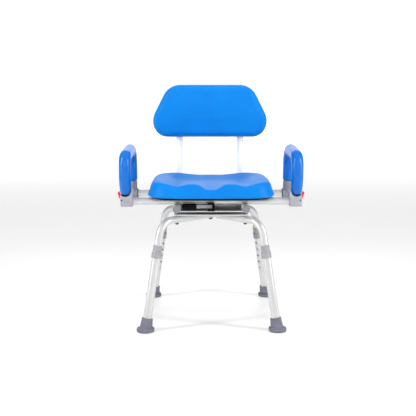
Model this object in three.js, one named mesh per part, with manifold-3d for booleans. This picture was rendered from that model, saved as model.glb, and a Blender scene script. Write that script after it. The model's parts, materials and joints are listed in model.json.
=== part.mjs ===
// A padded bath chair that swivels on four height-adjustable legs, with arm loops that flip up and back.
// Millimetres. +X points to the sitter's left, +Y to the back and +Z up.
// The origin is on the floor under the swivel axis.

import * as THREE from "three";
import { mergeVertices } from "three/addons/utils/BufferGeometryUtils.js";
import Module from "manifold-3d";

const wasm = await Module();
wasm.setup();

// ---------------------------------------------------------------- driving dimensions

const GAP = 0.3; // between neighbours that touch on the real chair

const FRAME_TUBE = { radius: 12.7, bore: 11.2 };
const LEG_TUBE = { radius: 14.3, bore: 13.1 };
const ARM_TUBE = { radius: 10.5, bore: 8.5 };
const TUBE_SIDES = 12;
const ROUND_SIDES = 16;
const HOLE_SIDES = 8;
const BORE_GAP = 0.5; // round neighbours need more, because flats cut into a round gap

const LEG_TOP = { out: 184, height: 250 }; // a leg axis passes here, along X and along Y
const LEG_FOOT = { out: 221, height: 0 };
const BASE_RUN_HEIGHT = 362;
const BASE_BEND_RADIUS = 55;
const HOLE_PITCH = 25.4;
const HOLE_COUNT = 5;
const LOWEST_HOLE_HEIGHT = 121;
const BUTTON_RADIUS = 3.3;

const PLATE_SIZE = 254;
const LOWER_PLATE = { bottom: 375, top: 380 };
const UPPER_PLATE = { bottom: 388, top: 393 };
const CORNER_BOLT_OUT = 117;
const BOLT_RADIUS = 3;

const RAIL_OUT = 115.5;
const RAIL_HEIGHT = 406;
const RAIL_FRONT = -180;
const POST_BACK = 220;
const POST_TOP = 770;
const POST_BEND_RADIUS = 60;

const CROSS_TUBE_OUT = 108;
const CROSS_TUBE_HEIGHT = 424;
const CATCH_TUBE_END = 292;
const HINGE_TUBE_END = 311;

const PAN = { bottom: 437, top: 442.7 };
const PAN_PLAN = { halfWidth: 204, halfDepth: 190, middle: -6 };
const SEAT = { halfWidth: 217.5, front: -208, back: 195, bottom: 443, hollow: 471, edgeDrop: 9 };

const BACK = { front: 163, back: 202.7, bottom: 627.5, top: 822 };
const BACK_SHELL = { front: 203, back: 207, inset: 14 };

const ARM_PLANE = 291;
const ARM_PAD_RADIUS = 21;
const ARM_SOCKET_RADIUS = 19.5;

// ---------------------------------------------------------------- colours and finishes

const finish = (color, roughness, metalness) =>
  new THREE.MeshStandardMaterial({ color, roughness, metalness });
const aluminium = finish(0xcfd2d6, 0.32, 0.95);
const plateMetal = finish(0xb4b7bb, 0.38, 0.95);
const greyPlastic = finish(0xb9b6c4, 0.5, 0.0);
const collarPlastic = finish(0x9ea1a6, 0.5, 0.0);
const darkGreyPlastic = finish(0x878a90, 0.5, 0.0);
const greyRubber = finish(0x74757f, 0.75, 0.0);
const blackPlastic = finish(0x15161a, 0.5, 0.0);
const blackSteel = finish(0x1d1e21, 0.45, 0.6);
const blueFoam = finish(0x0b78e3, 0.42, 0.0);
const gripFoam = finish(0x0868d0, 0.32, 0.0);
const redPlastic = finish(0xd8102e, 0.4, 0.0);
const brass = finish(0xc9a227, 0.35, 0.9);

// ---------------------------------------------------------------- solids, cuts and joins

function solidOf(geometry) {
  const bare = geometry.index ? geometry.toNonIndexed() : geometry.clone();
  bare.deleteAttribute("normal");
  bare.deleteAttribute("uv");
  const merged = mergeVertices(bare, 1e-3);
  const mesh = new wasm.Mesh({
    numProp: 3,
    vertProperties: merged.attributes.position.array,
    triVerts: new Uint32Array(merged.index.array),
  });
  return new wasm.Manifold(mesh);
}

function geometryOf(solid) {
  const mesh = solid.getMesh();
  const geometry = new THREE.BufferGeometry();
  geometry.setAttribute("position", new THREE.BufferAttribute(mesh.vertProperties, 3));
  geometry.setIndex(new THREE.BufferAttribute(mesh.triVerts, 1));
  geometry.computeVertexNormals();
  return geometry;
}

function cut(geometry, ...tools) {
  let solid = solidOf(geometry);
  for (const tool of tools) solid = solid.subtract(solidOf(tool));
  return geometryOf(solid);
}

function join(...geometries) {
  const [first, ...rest] = geometries.map(solidOf);
  return geometryOf(rest.reduce((whole, solid) => whole.add(solid), first));
}

// ---------------------------------------------------------------- basic shapes

const point = (x, y, z) => new THREE.Vector3(x, y, z);

function block(low, high) {
  const size = high.clone().sub(low);
  const middle = low.clone().add(high).multiplyScalar(0.5);
  return new THREE.BoxGeometry(size.x, size.y, size.z).translate(middle.x, middle.y, middle.z);
}

// Turns a shape made about +Z with its start at the origin, so that it runs from one point towards another.
function alongLine(geometry, from, towards) {
  const direction = towards.clone().sub(from).normalize();
  const turn = new THREE.Quaternion().setFromUnitVectors(point(0, 0, 1), direction);
  return geometry.applyQuaternion(turn).translate(from.x, from.y, from.z);
}

// A profile of [radius, height] pairs turned about +Z.
function turned(profile, sides = ROUND_SIDES) {
  const outline = profile.map(([radius, height]) => new THREE.Vector2(radius, height));
  return new THREE.LatheGeometry(outline, sides).rotateX(Math.PI / 2);
}

function rod(radius, from, to, sides = HOLE_SIDES) {
  const length = from.distanceTo(to);
  const profile = [[0, 0], [radius, 0], [radius, length], [0, length]];
  return alongLine(turned(profile, sides), from, to);
}

function sleeve(radius, bore, from, to, sides = ROUND_SIDES) {
  const length = from.distanceTo(to);
  const profile = [[bore, 0], [radius, 0], [radius, length], [bore, length], [bore, 0]];
  return alongLine(turned(profile, sides), from, to);
}

function ringShape(radius, bore, sides) {
  const circle = (r) =>
    Array.from({ length: sides }, (_, i) => {
      const angle = (2 * Math.PI * i) / sides;
      return new THREE.Vector2(r * Math.cos(angle), r * Math.sin(angle));
    });
  const shape = new THREE.Shape(circle(radius));
  if (bore) shape.holes.push(new THREE.Path(circle(bore).reverse()));
  return shape;
}

// A curve known only at its stations, so that straight lengths take one step and bends take several.
class StationCurve extends THREE.Curve {
  constructor(stations) {
    super();
    this.stations = stations;
  }
  station(u) {
    return this.stations[Math.round(u * (this.stations.length - 1))];
  }
  getPoint(u) {
    return this.station(u).at.clone();
  }
  getPointAt(u) {
    return this.getPoint(u);
  }
  getTangentAt(u) {
    return this.station(u).heading.clone();
  }
}

// Stations along straight lengths whose inner corners are rounded to the given radii.
function roundedPath(corners, radii, steps) {
  const heading = (a, b) => b.clone().sub(a).normalize();
  const last = corners.length - 1;
  const stations = [{ at: corners[0], heading: heading(corners[0], corners[1]) }];
  for (let i = 1; i < last; i += 1) {
    const toPrevious = heading(corners[i], corners[i - 1]);
    const toNext = heading(corners[i], corners[i + 1]);
    const half = toPrevious.angleTo(toNext) / 2;
    const start = corners[i].clone().addScaledVector(toPrevious, radii[i - 1] / Math.tan(half));
    const bisector = toPrevious.clone().add(toNext).normalize();
    const centre = corners[i].clone().addScaledVector(bisector, radii[i - 1] / Math.sin(half));
    const axis = toPrevious.clone().negate().cross(toNext).normalize();
    for (let step = 0; step <= steps; step += 1) {
      const angle = ((Math.PI - 2 * half) * step) / steps;
      const at = start.clone().sub(centre).applyAxisAngle(axis, angle).add(centre);
      stations.push({ at, heading: toPrevious.clone().negate().applyAxisAngle(axis, angle) });
    }
  }
  stations.push({ at: corners[last], heading: heading(corners[last - 1], corners[last]) });
  return stations;
}

function bentTube(tube, stations, sides = TUBE_SIDES) {
  return new THREE.ExtrudeGeometry(ringShape(tube.radius, tube.bore, sides), {
    steps: stations.length - 1,
    extrudePath: new StationCurve(stations),
  });
}

// A flat outline in X and Z with rounded corners.
function roundedOutline(corners, radii, steps) {
  const closed = [...corners, corners[0], corners[1]].map(([x, z]) => point(x, 0, z));
  const stations = roundedPath(closed, [...radii.slice(1), radii[0]], steps).slice(1, -1);
  return new THREE.Shape(stations.map(({ at }) => new THREE.Vector2(at.x, at.z)));
}

// An outline in X and Z pushed along +Y from the front to the back.
function upright(shape, front, back) {
  const geometry = new THREE.ExtrudeGeometry(shape, { depth: back - front, bevelEnabled: false });
  return geometry.rotateX(Math.PI / 2).translate(0, back, 0);
}

const chair = new THREE.Group();

function add(name, geometry, material) {
  const mesh = new THREE.Mesh(geometry, material);
  mesh.name = name;
  chair.add(mesh);
}

const CORNERS = [
  { name: "front_left", x: -1, y: -1 },
  { name: "front_right", x: 1, y: -1 },
  { name: "rear_left", x: -1, y: 1 },
  { name: "rear_right", x: 1, y: 1 },
];
const SIDES = [
  { name: "left", x: -1 },
  { name: "right", x: 1 },
];

// ---------------------------------------------------------------- leg axis

const LEG_SPREAD = (LEG_FOOT.out - LEG_TOP.out) / (LEG_TOP.height - LEG_FOOT.height);
const legOut = (height) => LEG_FOOT.out - LEG_SPREAD * height;
const onLeg = (corner, height) => point(corner.x * legOut(height), corner.y * legOut(height), height);
const inward = (corner) => point(-corner.x, -corner.y, 0).normalize();
const LEG_SLANT = Math.hypot(1, LEG_SPREAD, LEG_SPREAD); // axis length for each unit of height

// ---------------------------------------------------------------- base: two crossed bent tubes

const BASE_TUBE_END_HEIGHT = 104;
const LAP = { half: 15, length: 14.2 };
const BUTTON_HOLE_CLEARANCE = 0.4;

function baseTube(first, second) {
  const cornerAt = (corner) => onLeg(corner, BASE_RUN_HEIGHT);
  const corners = [
    onLeg(first, BASE_TUBE_END_HEIGHT),
    cornerAt(first),
    cornerAt(second),
    onLeg(second, BASE_TUBE_END_HEIGHT),
  ];
  const radii = [BASE_BEND_RADIUS, BASE_BEND_RADIUS];
  return bentTube(FRAME_TUBE, roundedPath(corners, radii, 4));
}

// The tubes cross at one height, so each loses half of its section over the width of the other.
function lapNotch(first, upper) {
  const low = upper ? BASE_RUN_HEIGHT - GAP / 2 : BASE_RUN_HEIGHT - LAP.half;
  const high = upper ? BASE_RUN_HEIGHT + LAP.half : BASE_RUN_HEIGHT + GAP / 2;
  const notch = block(point(-LAP.length, -LAP.half, low), point(LAP.length, LAP.half, high));
  return notch.rotateZ(Math.atan2(first.y, first.x));
}

function boltHole(x, y) {
  const radius = BOLT_RADIUS + GAP;
  return rod(radius, point(x, y, BASE_RUN_HEIGHT - 20), point(x, y, UPPER_PLATE.top + 5));
}

function buttonBore(corner, height) {
  const from = onLeg(corner, height);
  return rod(BUTTON_RADIUS + BUTTON_HOLE_CLEARANCE, from, from.clone().addScaledVector(inward(corner), 25));
}

const KING_BOLT_RADIUS = 4;
const kingHole = rod(KING_BOLT_RADIUS + GAP, point(0, 0, 330), point(0, 0, 410));

[
  { name: "base_tube_a", pair: [CORNERS[0], CORNERS[3]], notchUpper: true },
  { name: "base_tube_b", pair: [CORNERS[1], CORNERS[2]], notchUpper: false },
].forEach(({ name, pair, notchUpper }) => {
  const holes = pair.flatMap((corner) => [
    boltHole(corner.x * CORNER_BOLT_OUT, corner.y * CORNER_BOLT_OUT),
    buttonBore(corner, LOWEST_HOLE_HEIGHT),
  ]);
  const tube = cut(baseTube(...pair), lapNotch(pair[0], notchUpper), kingHole, ...holes);
  add(name, tube, aluminium);
});

// ---------------------------------------------------------------- collars, legs, feet and snap buttons

const UPPER_COLLAR = { bottom: 264, top: 283, radius: 15.2 };
const LEG_COLLAR = { bottom: 242, top: 261.5, radius: 17.3 };
const LEG_TUBE_TOP = 258.5;
const LEG_TUBE_BOTTOM = 10;
const FOOT = { flangeRadius: 29.5, flangeTop: 10, neckRadius: 18.5, neckTop: 44, floor: 6 };
const FOOT_EDGE = [[27.5, 0], [FOOT.flangeRadius, 2], [FOOT.flangeRadius, FOOT.flangeTop], [21, 14]];

for (const corner of CORNERS) {
  const upperCollar = sleeve(
    UPPER_COLLAR.radius,
    FRAME_TUBE.radius + BORE_GAP,
    onLeg(corner, UPPER_COLLAR.bottom),
    onLeg(corner, UPPER_COLLAR.top),
  );
  add(`upper_collar_${corner.name}`, upperCollar, collarPlastic);

  // The leg collar is a cap on the leg's top end: it grips the leg outside and guides the base tube inside.
  const legCollarBelow = onLeg(corner, LEG_COLLAR.bottom - 5);
  const legCollar = cut(
    rod(LEG_COLLAR.radius, onLeg(corner, LEG_COLLAR.bottom), onLeg(corner, LEG_COLLAR.top), ROUND_SIDES),
    rod(LEG_TUBE.radius + BORE_GAP, legCollarBelow, onLeg(corner, LEG_TUBE_TOP + GAP), ROUND_SIDES),
    rod(LEG_TUBE.bore, legCollarBelow, onLeg(corner, LEG_COLLAR.top + 5), ROUND_SIDES),
  );
  add(`leg_collar_${corner.name}`, legCollar, collarPlastic);

  const holes = Array.from({ length: HOLE_COUNT }, (_, i) =>
    buttonBore(corner, LOWEST_HOLE_HEIGHT + (i * HOLE_PITCH) / LEG_SLANT),
  );
  const leg = sleeve(
    LEG_TUBE.radius,
    LEG_TUBE.bore,
    onLeg(corner, LEG_TUBE_BOTTOM),
    onLeg(corner, LEG_TUBE_TOP),
  );
  add(`leg_tube_${corner.name}`, cut(leg, ...holes), aluminium);

  // The foot's flange lies flat on the floor while its neck follows the leg.
  const under = onLeg(corner, 0);
  const flange = turned([[0, 0], ...FOOT_EDGE, [0, 14]]).translate(under.x, under.y, 0);
  const neck = rod(FOOT.neckRadius, onLeg(corner, FOOT.floor), onLeg(corner, FOOT.neckTop), ROUND_SIDES);
  const socketFrom = onLeg(corner, LEG_TUBE_BOTTOM - 1);
  const socket = rod(LEG_TUBE.radius + BORE_GAP, socketFrom, onLeg(corner, 60), ROUND_SIDES);
  add(`foot_${corner.name}`, cut(join(flange, neck), socket), greyRubber);

  // A domed button on the free end of a leaf spring that lies inside the base tube.
  const direction = inward(corner);
  const buttonAt = onLeg(corner, LOWEST_HOLE_HEIGHT);
  const head = alongLine(
    turned([[0, 4], [BUTTON_RADIUS, 4], [BUTTON_RADIUS, 16], [2, 17.6], [0, 18]], HOLE_SIDES),
    buttonAt,
    buttonAt.clone().add(direction),
  );
  const leafRoot = onLeg(corner, LOWEST_HOLE_HEIGHT + 34).addScaledVector(direction, 2.5);
  const leafTip = onLeg(corner, LOWEST_HOLE_HEIGHT - 5).addScaledVector(direction, 4.6);
  add(`snap_button_${corner.name}`, join(head, rod(1.6, leafRoot, leafTip, 6)), brass);
}

// ---------------------------------------------------------------- swivel: plates, races, bolts

const RACE = { radius: 108, bore: 92 };

function plate({ bottom, top }, holes) {
  const half = PLATE_SIZE / 2;
  const sheet = roundedOutline(
    [[-half, -half], [half, -half], [half, half], [-half, half]],
    [12, 12, 12, 12],
    3,
  );
  const geometry = new THREE.ExtrudeGeometry(sheet, { depth: top - bottom, bevelEnabled: false });
  return cut(geometry.translate(0, 0, bottom), ...holes);
}

const cornerBoltHoles = CORNERS.map((corner) =>
  boltHole(corner.x * CORNER_BOLT_OUT, corner.y * CORNER_BOLT_OUT),
);
add("lower_swivel_plate", plate(LOWER_PLATE, [kingHole, ...cornerBoltHoles]), plateMetal);

const flatRing = (bottom, top) => sleeve(RACE.radius, RACE.bore, point(0, 0, bottom), point(0, 0, top), 24);
add("swivel_race_lower", flatRing(LOWER_PLATE.top + GAP, 383.8), blackSteel);
add("swivel_race_upper", flatRing(384.2, UPPER_PLATE.bottom - GAP), blackSteel);

// Each corner bolt has a dome nut under the tube and a low head on the plate.
for (const corner of CORNERS) {
  const tubeBottom = BASE_RUN_HEIGHT - FRAME_TUBE.radius - GAP;
  const profile = [
    [0, tubeBottom - 6],
    [3.4, tubeBottom - 5],
    [5.5, tubeBottom - 2.5],
    [5.5, tubeBottom],
    [BOLT_RADIUS, tubeBottom],
    [BOLT_RADIUS, LOWER_PLATE.top + GAP],
    [6, LOWER_PLATE.top + GAP],
    [5, LOWER_PLATE.top + 3],
    [0, LOWER_PLATE.top + 3],
  ];
  const bolt = turned(profile, 12).translate(corner.x * CORNER_BOLT_OUT, corner.y * CORNER_BOLT_OUT, 0);
  add(`corner_bolt_${corner.name}`, bolt, blackSteel);
}

// The king bolt clamps the crossing, carries the swivel and ends in a lock nut above the upper plate.
const kingBottom = BASE_RUN_HEIGHT - FRAME_TUBE.radius - GAP;
const kingProfile = [
  [0, kingBottom - 6],
  [4.2, kingBottom - 5],
  [6.5, kingBottom - 2.5],
  [6.5, kingBottom],
  [KING_BOLT_RADIUS, kingBottom],
  [KING_BOLT_RADIUS, UPPER_PLATE.top + GAP],
  [8, UPPER_PLATE.top + GAP],
  [8, UPPER_PLATE.top + 6],
  [KING_BOLT_RADIUS, UPPER_PLATE.top + 6],
  [KING_BOLT_RADIUS, UPPER_PLATE.top + 9],
  [0, UPPER_PLATE.top + 9],
];
add("king_bolt", turned(kingProfile, 12), blackSteel);

// ---------------------------------------------------------------- swivel lock: housing, pin and lever

const LOCK = { pinY: -114, pinRadius: 3.5, pivotY: -134, pivotRadius: 2, pivotHole: 2.3 };
const LOCK_BODY = { left: -13, right: 11, front: -146, back: -106, step: -123, top: 420, backTop: 410.5 };
const LEVER_BAR = { left: -47, right: 3.5, front: -139, back: -129.5, bottom: 402.5, top: 415 };
const LEVER_GRIP = { left: -101, front: -141, back: -128.5, bottom: 394.5, top: 419 };
const LEVER_SLOT = { right: 7.5, back: -125, clearance: 1 };
const pinHole = rod(LOCK.pinRadius + BORE_GAP, point(0, LOCK.pinY, 370), point(0, LOCK.pinY, 412));
add("upper_swivel_plate", plate(UPPER_PLATE, [kingHole, pinHole]), plateMetal);

const lockPivot = (radius, bottom, top) =>
  rod(radius, point(0, LOCK.pivotY, bottom), point(0, LOCK.pivotY, top));
const lockBodyBottom = UPPER_PLATE.top + GAP;
const lockHousing = cut(
  join(
    block(
      point(LOCK_BODY.left, LOCK_BODY.front, lockBodyBottom),
      point(LOCK_BODY.right, LOCK_BODY.step, LOCK_BODY.top),
    ),
    block(
      point(LOCK_BODY.left, LOCK_BODY.front, lockBodyBottom),
      point(LOCK_BODY.right, LOCK_BODY.back, LOCK_BODY.backTop),
    ),
  ),
  pinHole,
  block(
    point(LOCK_BODY.left - 20, LOCK_BODY.front - 5, LEVER_BAR.bottom - LEVER_SLOT.clearance),
    point(LEVER_SLOT.right, LEVER_SLOT.back, LEVER_BAR.top + LEVER_SLOT.clearance),
  ),
  lockPivot(LOCK.pivotHole, 380, 430),
);
add("swivel_lock_housing", lockHousing, blackPlastic);

// The lever swings forwards out of the housing's open slot and lifts the pin through a cam.
// The pin stops just above the lower plate, so that the seat can be turned without lifting it first.
const lockPinBottom = LOWER_PLATE.top + 0.4;
const lockPin = rod(LOCK.pinRadius, point(0, LOCK.pinY, lockPinBottom), point(0, LOCK.pinY, 403));
add("swivel_lock_pin", lockPin, blackSteel);

const leverBar = join(
  block(
    point(LEVER_BAR.left, LEVER_BAR.front, LEVER_BAR.bottom),
    point(LEVER_BAR.right, LEVER_BAR.back, LEVER_BAR.top),
  ),
  block(
    point(LEVER_GRIP.left, LEVER_GRIP.front, LEVER_GRIP.bottom),
    point(LEVER_BAR.left, LEVER_GRIP.back, LEVER_GRIP.top),
  ),
  lockPivot(LOCK.pivotRadius, LEVER_BAR.bottom - 3.5, LEVER_BAR.top + 3.5),
);
add("swivel_lock_lever", leverBar, greyPlastic);

// ---------------------------------------------------------------- seat frame: rails, posts, cross tubes

const crossTube = (side, end) =>
  sleeve(
    FRAME_TUBE.radius,
    FRAME_TUBE.bore,
    point(-end, side * CROSS_TUBE_OUT, CROSS_TUBE_HEIGHT),
    point(end, side * CROSS_TUBE_OUT, CROSS_TUBE_HEIGHT),
    TUBE_SIDES,
  );
add("front_cross_tube", crossTube(-1, CATCH_TUBE_END), aluminium);
add("rear_cross_tube", crossTube(1, HINGE_TUBE_END), aluminium);

// A rail is cut to a saddle where a cross tube sits in it.
const saddle = (x, y) =>
  rod(
    FRAME_TUBE.radius + GAP,
    point(x - 20, y, CROSS_TUBE_HEIGHT),
    point(x + 20, y, CROSS_TUBE_HEIGHT),
    TUBE_SIDES,
  );

for (const side of SIDES) {
  const x = side.x * RAIL_OUT;
  const corners = [
    point(x, RAIL_FRONT, RAIL_HEIGHT),
    point(x, POST_BACK, RAIL_HEIGHT),
    point(x, POST_BACK, POST_TOP),
  ];
  const rail = bentTube(FRAME_TUBE, roundedPath(corners, [POST_BEND_RADIUS], 6));
  const notched = cut(rail, saddle(x, -CROSS_TUBE_OUT), saddle(x, CROSS_TUBE_OUT));
  add(`side_rail_${side.name}`, notched, aluminium);

  const cap = turned([[0, 0], [11, 0], [13.4, 1.5], [13.4, 5], [10.3, 5], [10.3, 22], [0, 22]]);
  const capFront = point(x, RAIL_FRONT - 5.3, RAIL_HEIGHT);
  add(`rail_cap_${side.name}`, alongLine(cap, capFront, point(x, 0, RAIL_HEIGHT)), darkGreyPlastic);
}

// ---------------------------------------------------------------- seat pan and moulded seat cushion

const PLAN_ROUNDNESS = 5;

// Pulls a point of the square from -1 to 1 onto a rounded square of the same half width.
function rounded(u, v) {
  const reach = Math.max(Math.abs(u), Math.abs(v));
  if (reach === 0) return [0, 0];
  const norm = (Math.abs(u) ** PLAN_ROUNDNESS + Math.abs(v) ** PLAN_ROUNDNESS) ** (1 / PLAN_ROUNDNESS);
  return [(u * reach) / norm, (v * reach) / norm];
}

// The seat's top is hollowed in the centre, with raised sides and back. At the front two thigh ridges
// with steep inner flanks stand beside a narrow valley.
const FRONT_RISE = { from: -40, to: 190 }; // how far forward the front's shapes begin and are full
const THIGH_RIDGE = { innerFoot: 10, innerTop: 52, outerTop: 72, outerFoot: 125, height: 19, outerLoss: 0.6 };
const VALLEY = -4;
const RAISED_SIDES = { height: 22, foot: 95, crest: 190, frontLoss: 0.25 };
const RAISED_BACK = { from: 60, to: 180, height: 13, sideHeight: 9.5, foot: 30, crest: 150 };

function seatTop(x, y) {
  const { lerp, smoothstep } = THREE.MathUtils;
  const across = Math.abs(x);
  const frontness = smoothstep(-y, FRONT_RISE.from, FRONT_RISE.to);
  const flank = smoothstep(across, THIGH_RIDGE.innerFoot, THIGH_RIDGE.innerTop);
  const fall = smoothstep(across, THIGH_RIDGE.outerTop, THIGH_RIDGE.outerFoot);
  const ridge = THIGH_RIDGE.height * flank * (1 - THIGH_RIDGE.outerLoss * fall);
  const sideRise = smoothstep(across, RAISED_SIDES.foot, RAISED_SIDES.crest);
  const sides = RAISED_SIDES.height * sideRise * (1 - RAISED_SIDES.frontLoss * frontness);
  const { height, sideHeight, foot, crest } = RAISED_BACK;
  const back = height + sideHeight * smoothstep(across, foot, crest);
  const backness = smoothstep(y, RAISED_BACK.from, RAISED_BACK.to);
  return SEAT.hollow + frontness * (VALLEY + ridge) + lerp(sides, back, backness);
}

const SEAT_LEVELS = [
  { height: 0, scale: 0.985 },
  { height: 0.12, scale: 1 },
  { height: 0.75, scale: 0.985 },
  { height: 1, scale: 0.94 },
];
const seatGrid = new THREE.BoxGeometry(2, 2, 2, 14, 8, SEAT_LEVELS.length - 1);
const seatPosition = seatGrid.attributes.position;
for (let i = 0; i < seatPosition.count; i += 1) {
  const level = SEAT_LEVELS[Math.round(((seatPosition.getZ(i) + 1) / 2) * (SEAT_LEVELS.length - 1))];
  const [u, v] = rounded(seatPosition.getX(i), seatPosition.getY(i));
  const middle = (SEAT.front + SEAT.back) / 2;
  const halfDepth = (SEAT.back - SEAT.front) / 2;
  const x = u * SEAT.halfWidth * level.scale;
  const y = middle + v * halfDepth * level.scale;
  const edge = Math.max(Math.abs(seatPosition.getX(i)), Math.abs(seatPosition.getY(i)));
  const top = seatTop(x, y) - SEAT.edgeDrop * edge ** 8;
  seatPosition.setXYZ(i, x, y, SEAT.bottom + (top - SEAT.bottom) * level.height);
}
add("seat_cushion", seatGrid, blueFoam);

const panSheet = new THREE.BoxGeometry(2, 2, PAN.top - PAN.bottom, 8, 8, 1);
const panPosition = panSheet.attributes.position;
for (let i = 0; i < panPosition.count; i += 1) {
  const [u, v] = rounded(panPosition.getX(i), panPosition.getY(i));
  const z = (PAN.top + PAN.bottom) / 2 + panPosition.getZ(i);
  panPosition.setXYZ(i, u * PAN_PLAN.halfWidth, v * PAN_PLAN.halfDepth + PAN_PLAN.middle, z);
}
add("seat_pan", panSheet, blackPlastic);

// ---------------------------------------------------------------- back shell and moulded back cushion

const BACK_CORNERS = [
  { out: 192.7, height: BACK.bottom, radius: 52.8 },
  { out: 222.7, height: 686.8, radius: 63.4 },
  { out: 154.2, height: BACK.top, radius: 70 },
];

// The back's outline moved in by inset: its arcs keep their centres, so each corner moves along its bisector.
function backOutline(inset) {
  const right = BACK_CORNERS.map(({ out, height }) => new THREE.Vector2(out, height));
  const left = right.map(({ x, y }) => new THREE.Vector2(-x, y)).reverse();
  const corners = [...right, ...left];
  const moved = corners.map((corner, i) => {
    const before = corners.at(i - 1).clone().sub(corner).normalize();
    const after = corners[(i + 1) % corners.length].clone().sub(corner).normalize();
    const half = Math.acos(before.dot(after)) / 2;
    return corner.clone().addScaledVector(before.add(after).normalize(), inset / Math.sin(half));
  });
  const radii = BACK_CORNERS.map(({ radius }) => radius - inset);
  return roundedOutline(moved.map(({ x, y }) => [x, y]), [...radii, ...radii.slice().reverse()], 4);
}

const BACK_BEVEL = 10;
const backPad = new THREE.ExtrudeGeometry(backOutline(BACK_BEVEL), {
  depth: BACK.back - BACK.front - 2 * BACK_BEVEL,
  bevelEnabled: true,
  bevelThickness: BACK_BEVEL,
  bevelSize: BACK_BEVEL,
  bevelSegments: 2,
});
add("back_cushion", backPad.rotateX(Math.PI / 2).translate(0, BACK.back - BACK_BEVEL, 0), blueFoam);
add("back_shell", upright(backOutline(BACK_SHELL.inset), BACK_SHELL.front, BACK_SHELL.back), blackPlastic);

// ---------------------------------------------------------------- front arm catches with red latch levers

const CATCH = { inner: 266, outer: 308.5, front: -128, back: -88, bottom: 406.6 };
const CRADLE = { bottom: 440, radius: 20.2, innerTop: 463, outerTop: 447 };
const LATCH_PIVOT = { x: 303.5, z: 428.5, pin: 1.8, hole: 2.3, proud: 0.8 };
const LATCH_SLOT = { inner: 297.5, front: -115.5, back: -100.5, bottom: 421.5 };
const LATCH_LEVER = [
  [301, 424],
  [306, 424],
  [309.5, 430],
  [313.3, 438.5],
  [317, 455],
  [313, 457.5],
  [309.4, 448],
  [304.5, 440],
  [299.5, 433],
];

for (const side of SIDES) {
  const mirrored = (points) => points.map(([x, z]) => [side.x * x, z]);
  const arcPoints = Array.from({ length: 9 }, (_, i) => {
    const angle = Math.PI + (Math.PI * i) / 8;
    const x = ARM_PLANE + CRADLE.radius * Math.cos(angle);
    return [x, CRADLE.bottom + CRADLE.radius * (1 + Math.sin(angle))];
  });
  const cradle = [
    [CATCH.inner, CATCH.bottom],
    [CATCH.outer, CATCH.bottom],
    [CATCH.outer, CRADLE.outerTop],
    ...arcPoints.filter(([x, z]) => x < ARM_PLANE || z < CRADLE.outerTop).reverse(),
    [arcPoints[0][0], CRADLE.innerTop],
    [CATCH.inner, CRADLE.innerTop],
  ];
  const shape = new THREE.Shape(mirrored(cradle).map(([x, z]) => new THREE.Vector2(x, z)));
  const pinFrom = point(side.x * LATCH_PIVOT.x, CATCH.front, LATCH_PIVOT.z);
  const pinTo = point(side.x * LATCH_PIVOT.x, CATCH.back, LATCH_PIVOT.z);
  const slotEnds = [side.x * LATCH_SLOT.inner, side.x * (CATCH.outer + 5)].sort((a, b) => a - b);
  const body = cut(
    upright(shape, CATCH.front, CATCH.back),
    rod(
      FRAME_TUBE.radius + GAP,
      point(side.x * (CATCH.inner - 5), -CROSS_TUBE_OUT, CROSS_TUBE_HEIGHT),
      point(side.x * (CATCH_TUBE_END + GAP), -CROSS_TUBE_OUT, CROSS_TUBE_HEIGHT),
      TUBE_SIDES,
    ),
    block(
      point(slotEnds[0], LATCH_SLOT.front, LATCH_SLOT.bottom),
      point(slotEnds[1], LATCH_SLOT.back, CRADLE.innerTop + 20),
    ),
    rod(LATCH_PIVOT.hole, pinFrom.clone().setY(CATCH.front - 5), pinTo.clone().setY(CATCH.back + 5)),
  );
  add(`arm_catch_${side.name}`, body, greyPlastic);
  const pinHead = pinFrom.clone().setY(CATCH.front - LATCH_PIVOT.proud);
  add(`latch_pin_${side.name}`, rod(LATCH_PIVOT.pin, pinHead, pinTo), blackSteel);

  // The lever's hub turns on the pin and its tab leans outwards above the catch, for a thumb.
  const leverShape = new THREE.Shape(mirrored(LATCH_LEVER).map(([x, z]) => new THREE.Vector2(x, z)));
  const leverBody = cut(
    upright(leverShape, LATCH_SLOT.front + 1, LATCH_SLOT.back - 1),
    rod(LATCH_PIVOT.hole, pinFrom, pinTo),
  );
  add(`latch_lever_${side.name}`, leverBody, redPlastic);
}

// ---------------------------------------------------------------- arms: hinge, core, foam loop, end plug

const HINGE = { inner: 267, outer: HINGE_TUBE_END - 0.5, radius: 18.5, socketTop: 471, socketBottom: 438.5 };
const ARM_REAR_HEIGHT = 590.5;
const ARM_FRONT = { forward: -127.5, height: 575, bendHeight: 504.5, bottomY: -110.2, bottomHeight: 449.5 };
const ARM_LOOP_RADII = [50, 60, 80];

// What is cut off the foam's lower end, as radius and distance from the end.
const PAD_END_CURVE = [[15.2, 0], [17.4, 3], [18.9, 8], [19.7, 13], [21.2, 30]];
const PAD_END_CUT = [...PAD_END_CURVE, [28, 30], [28, -3], [15.2, -3], [15.2, 0]];
const PLUG_PROFILE = [[0, -6.2], [9, -6], [13, -3.5], [15, -GAP], [7.5, -GAP], [7.5, 20], [0, 20]];
const HINGE_CAP_PROFILE = [[0, -14], [10.3, -14], [10.3, GAP], [14.5, GAP], [14.5, 2], [13, 3], [0, 3]];

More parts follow.
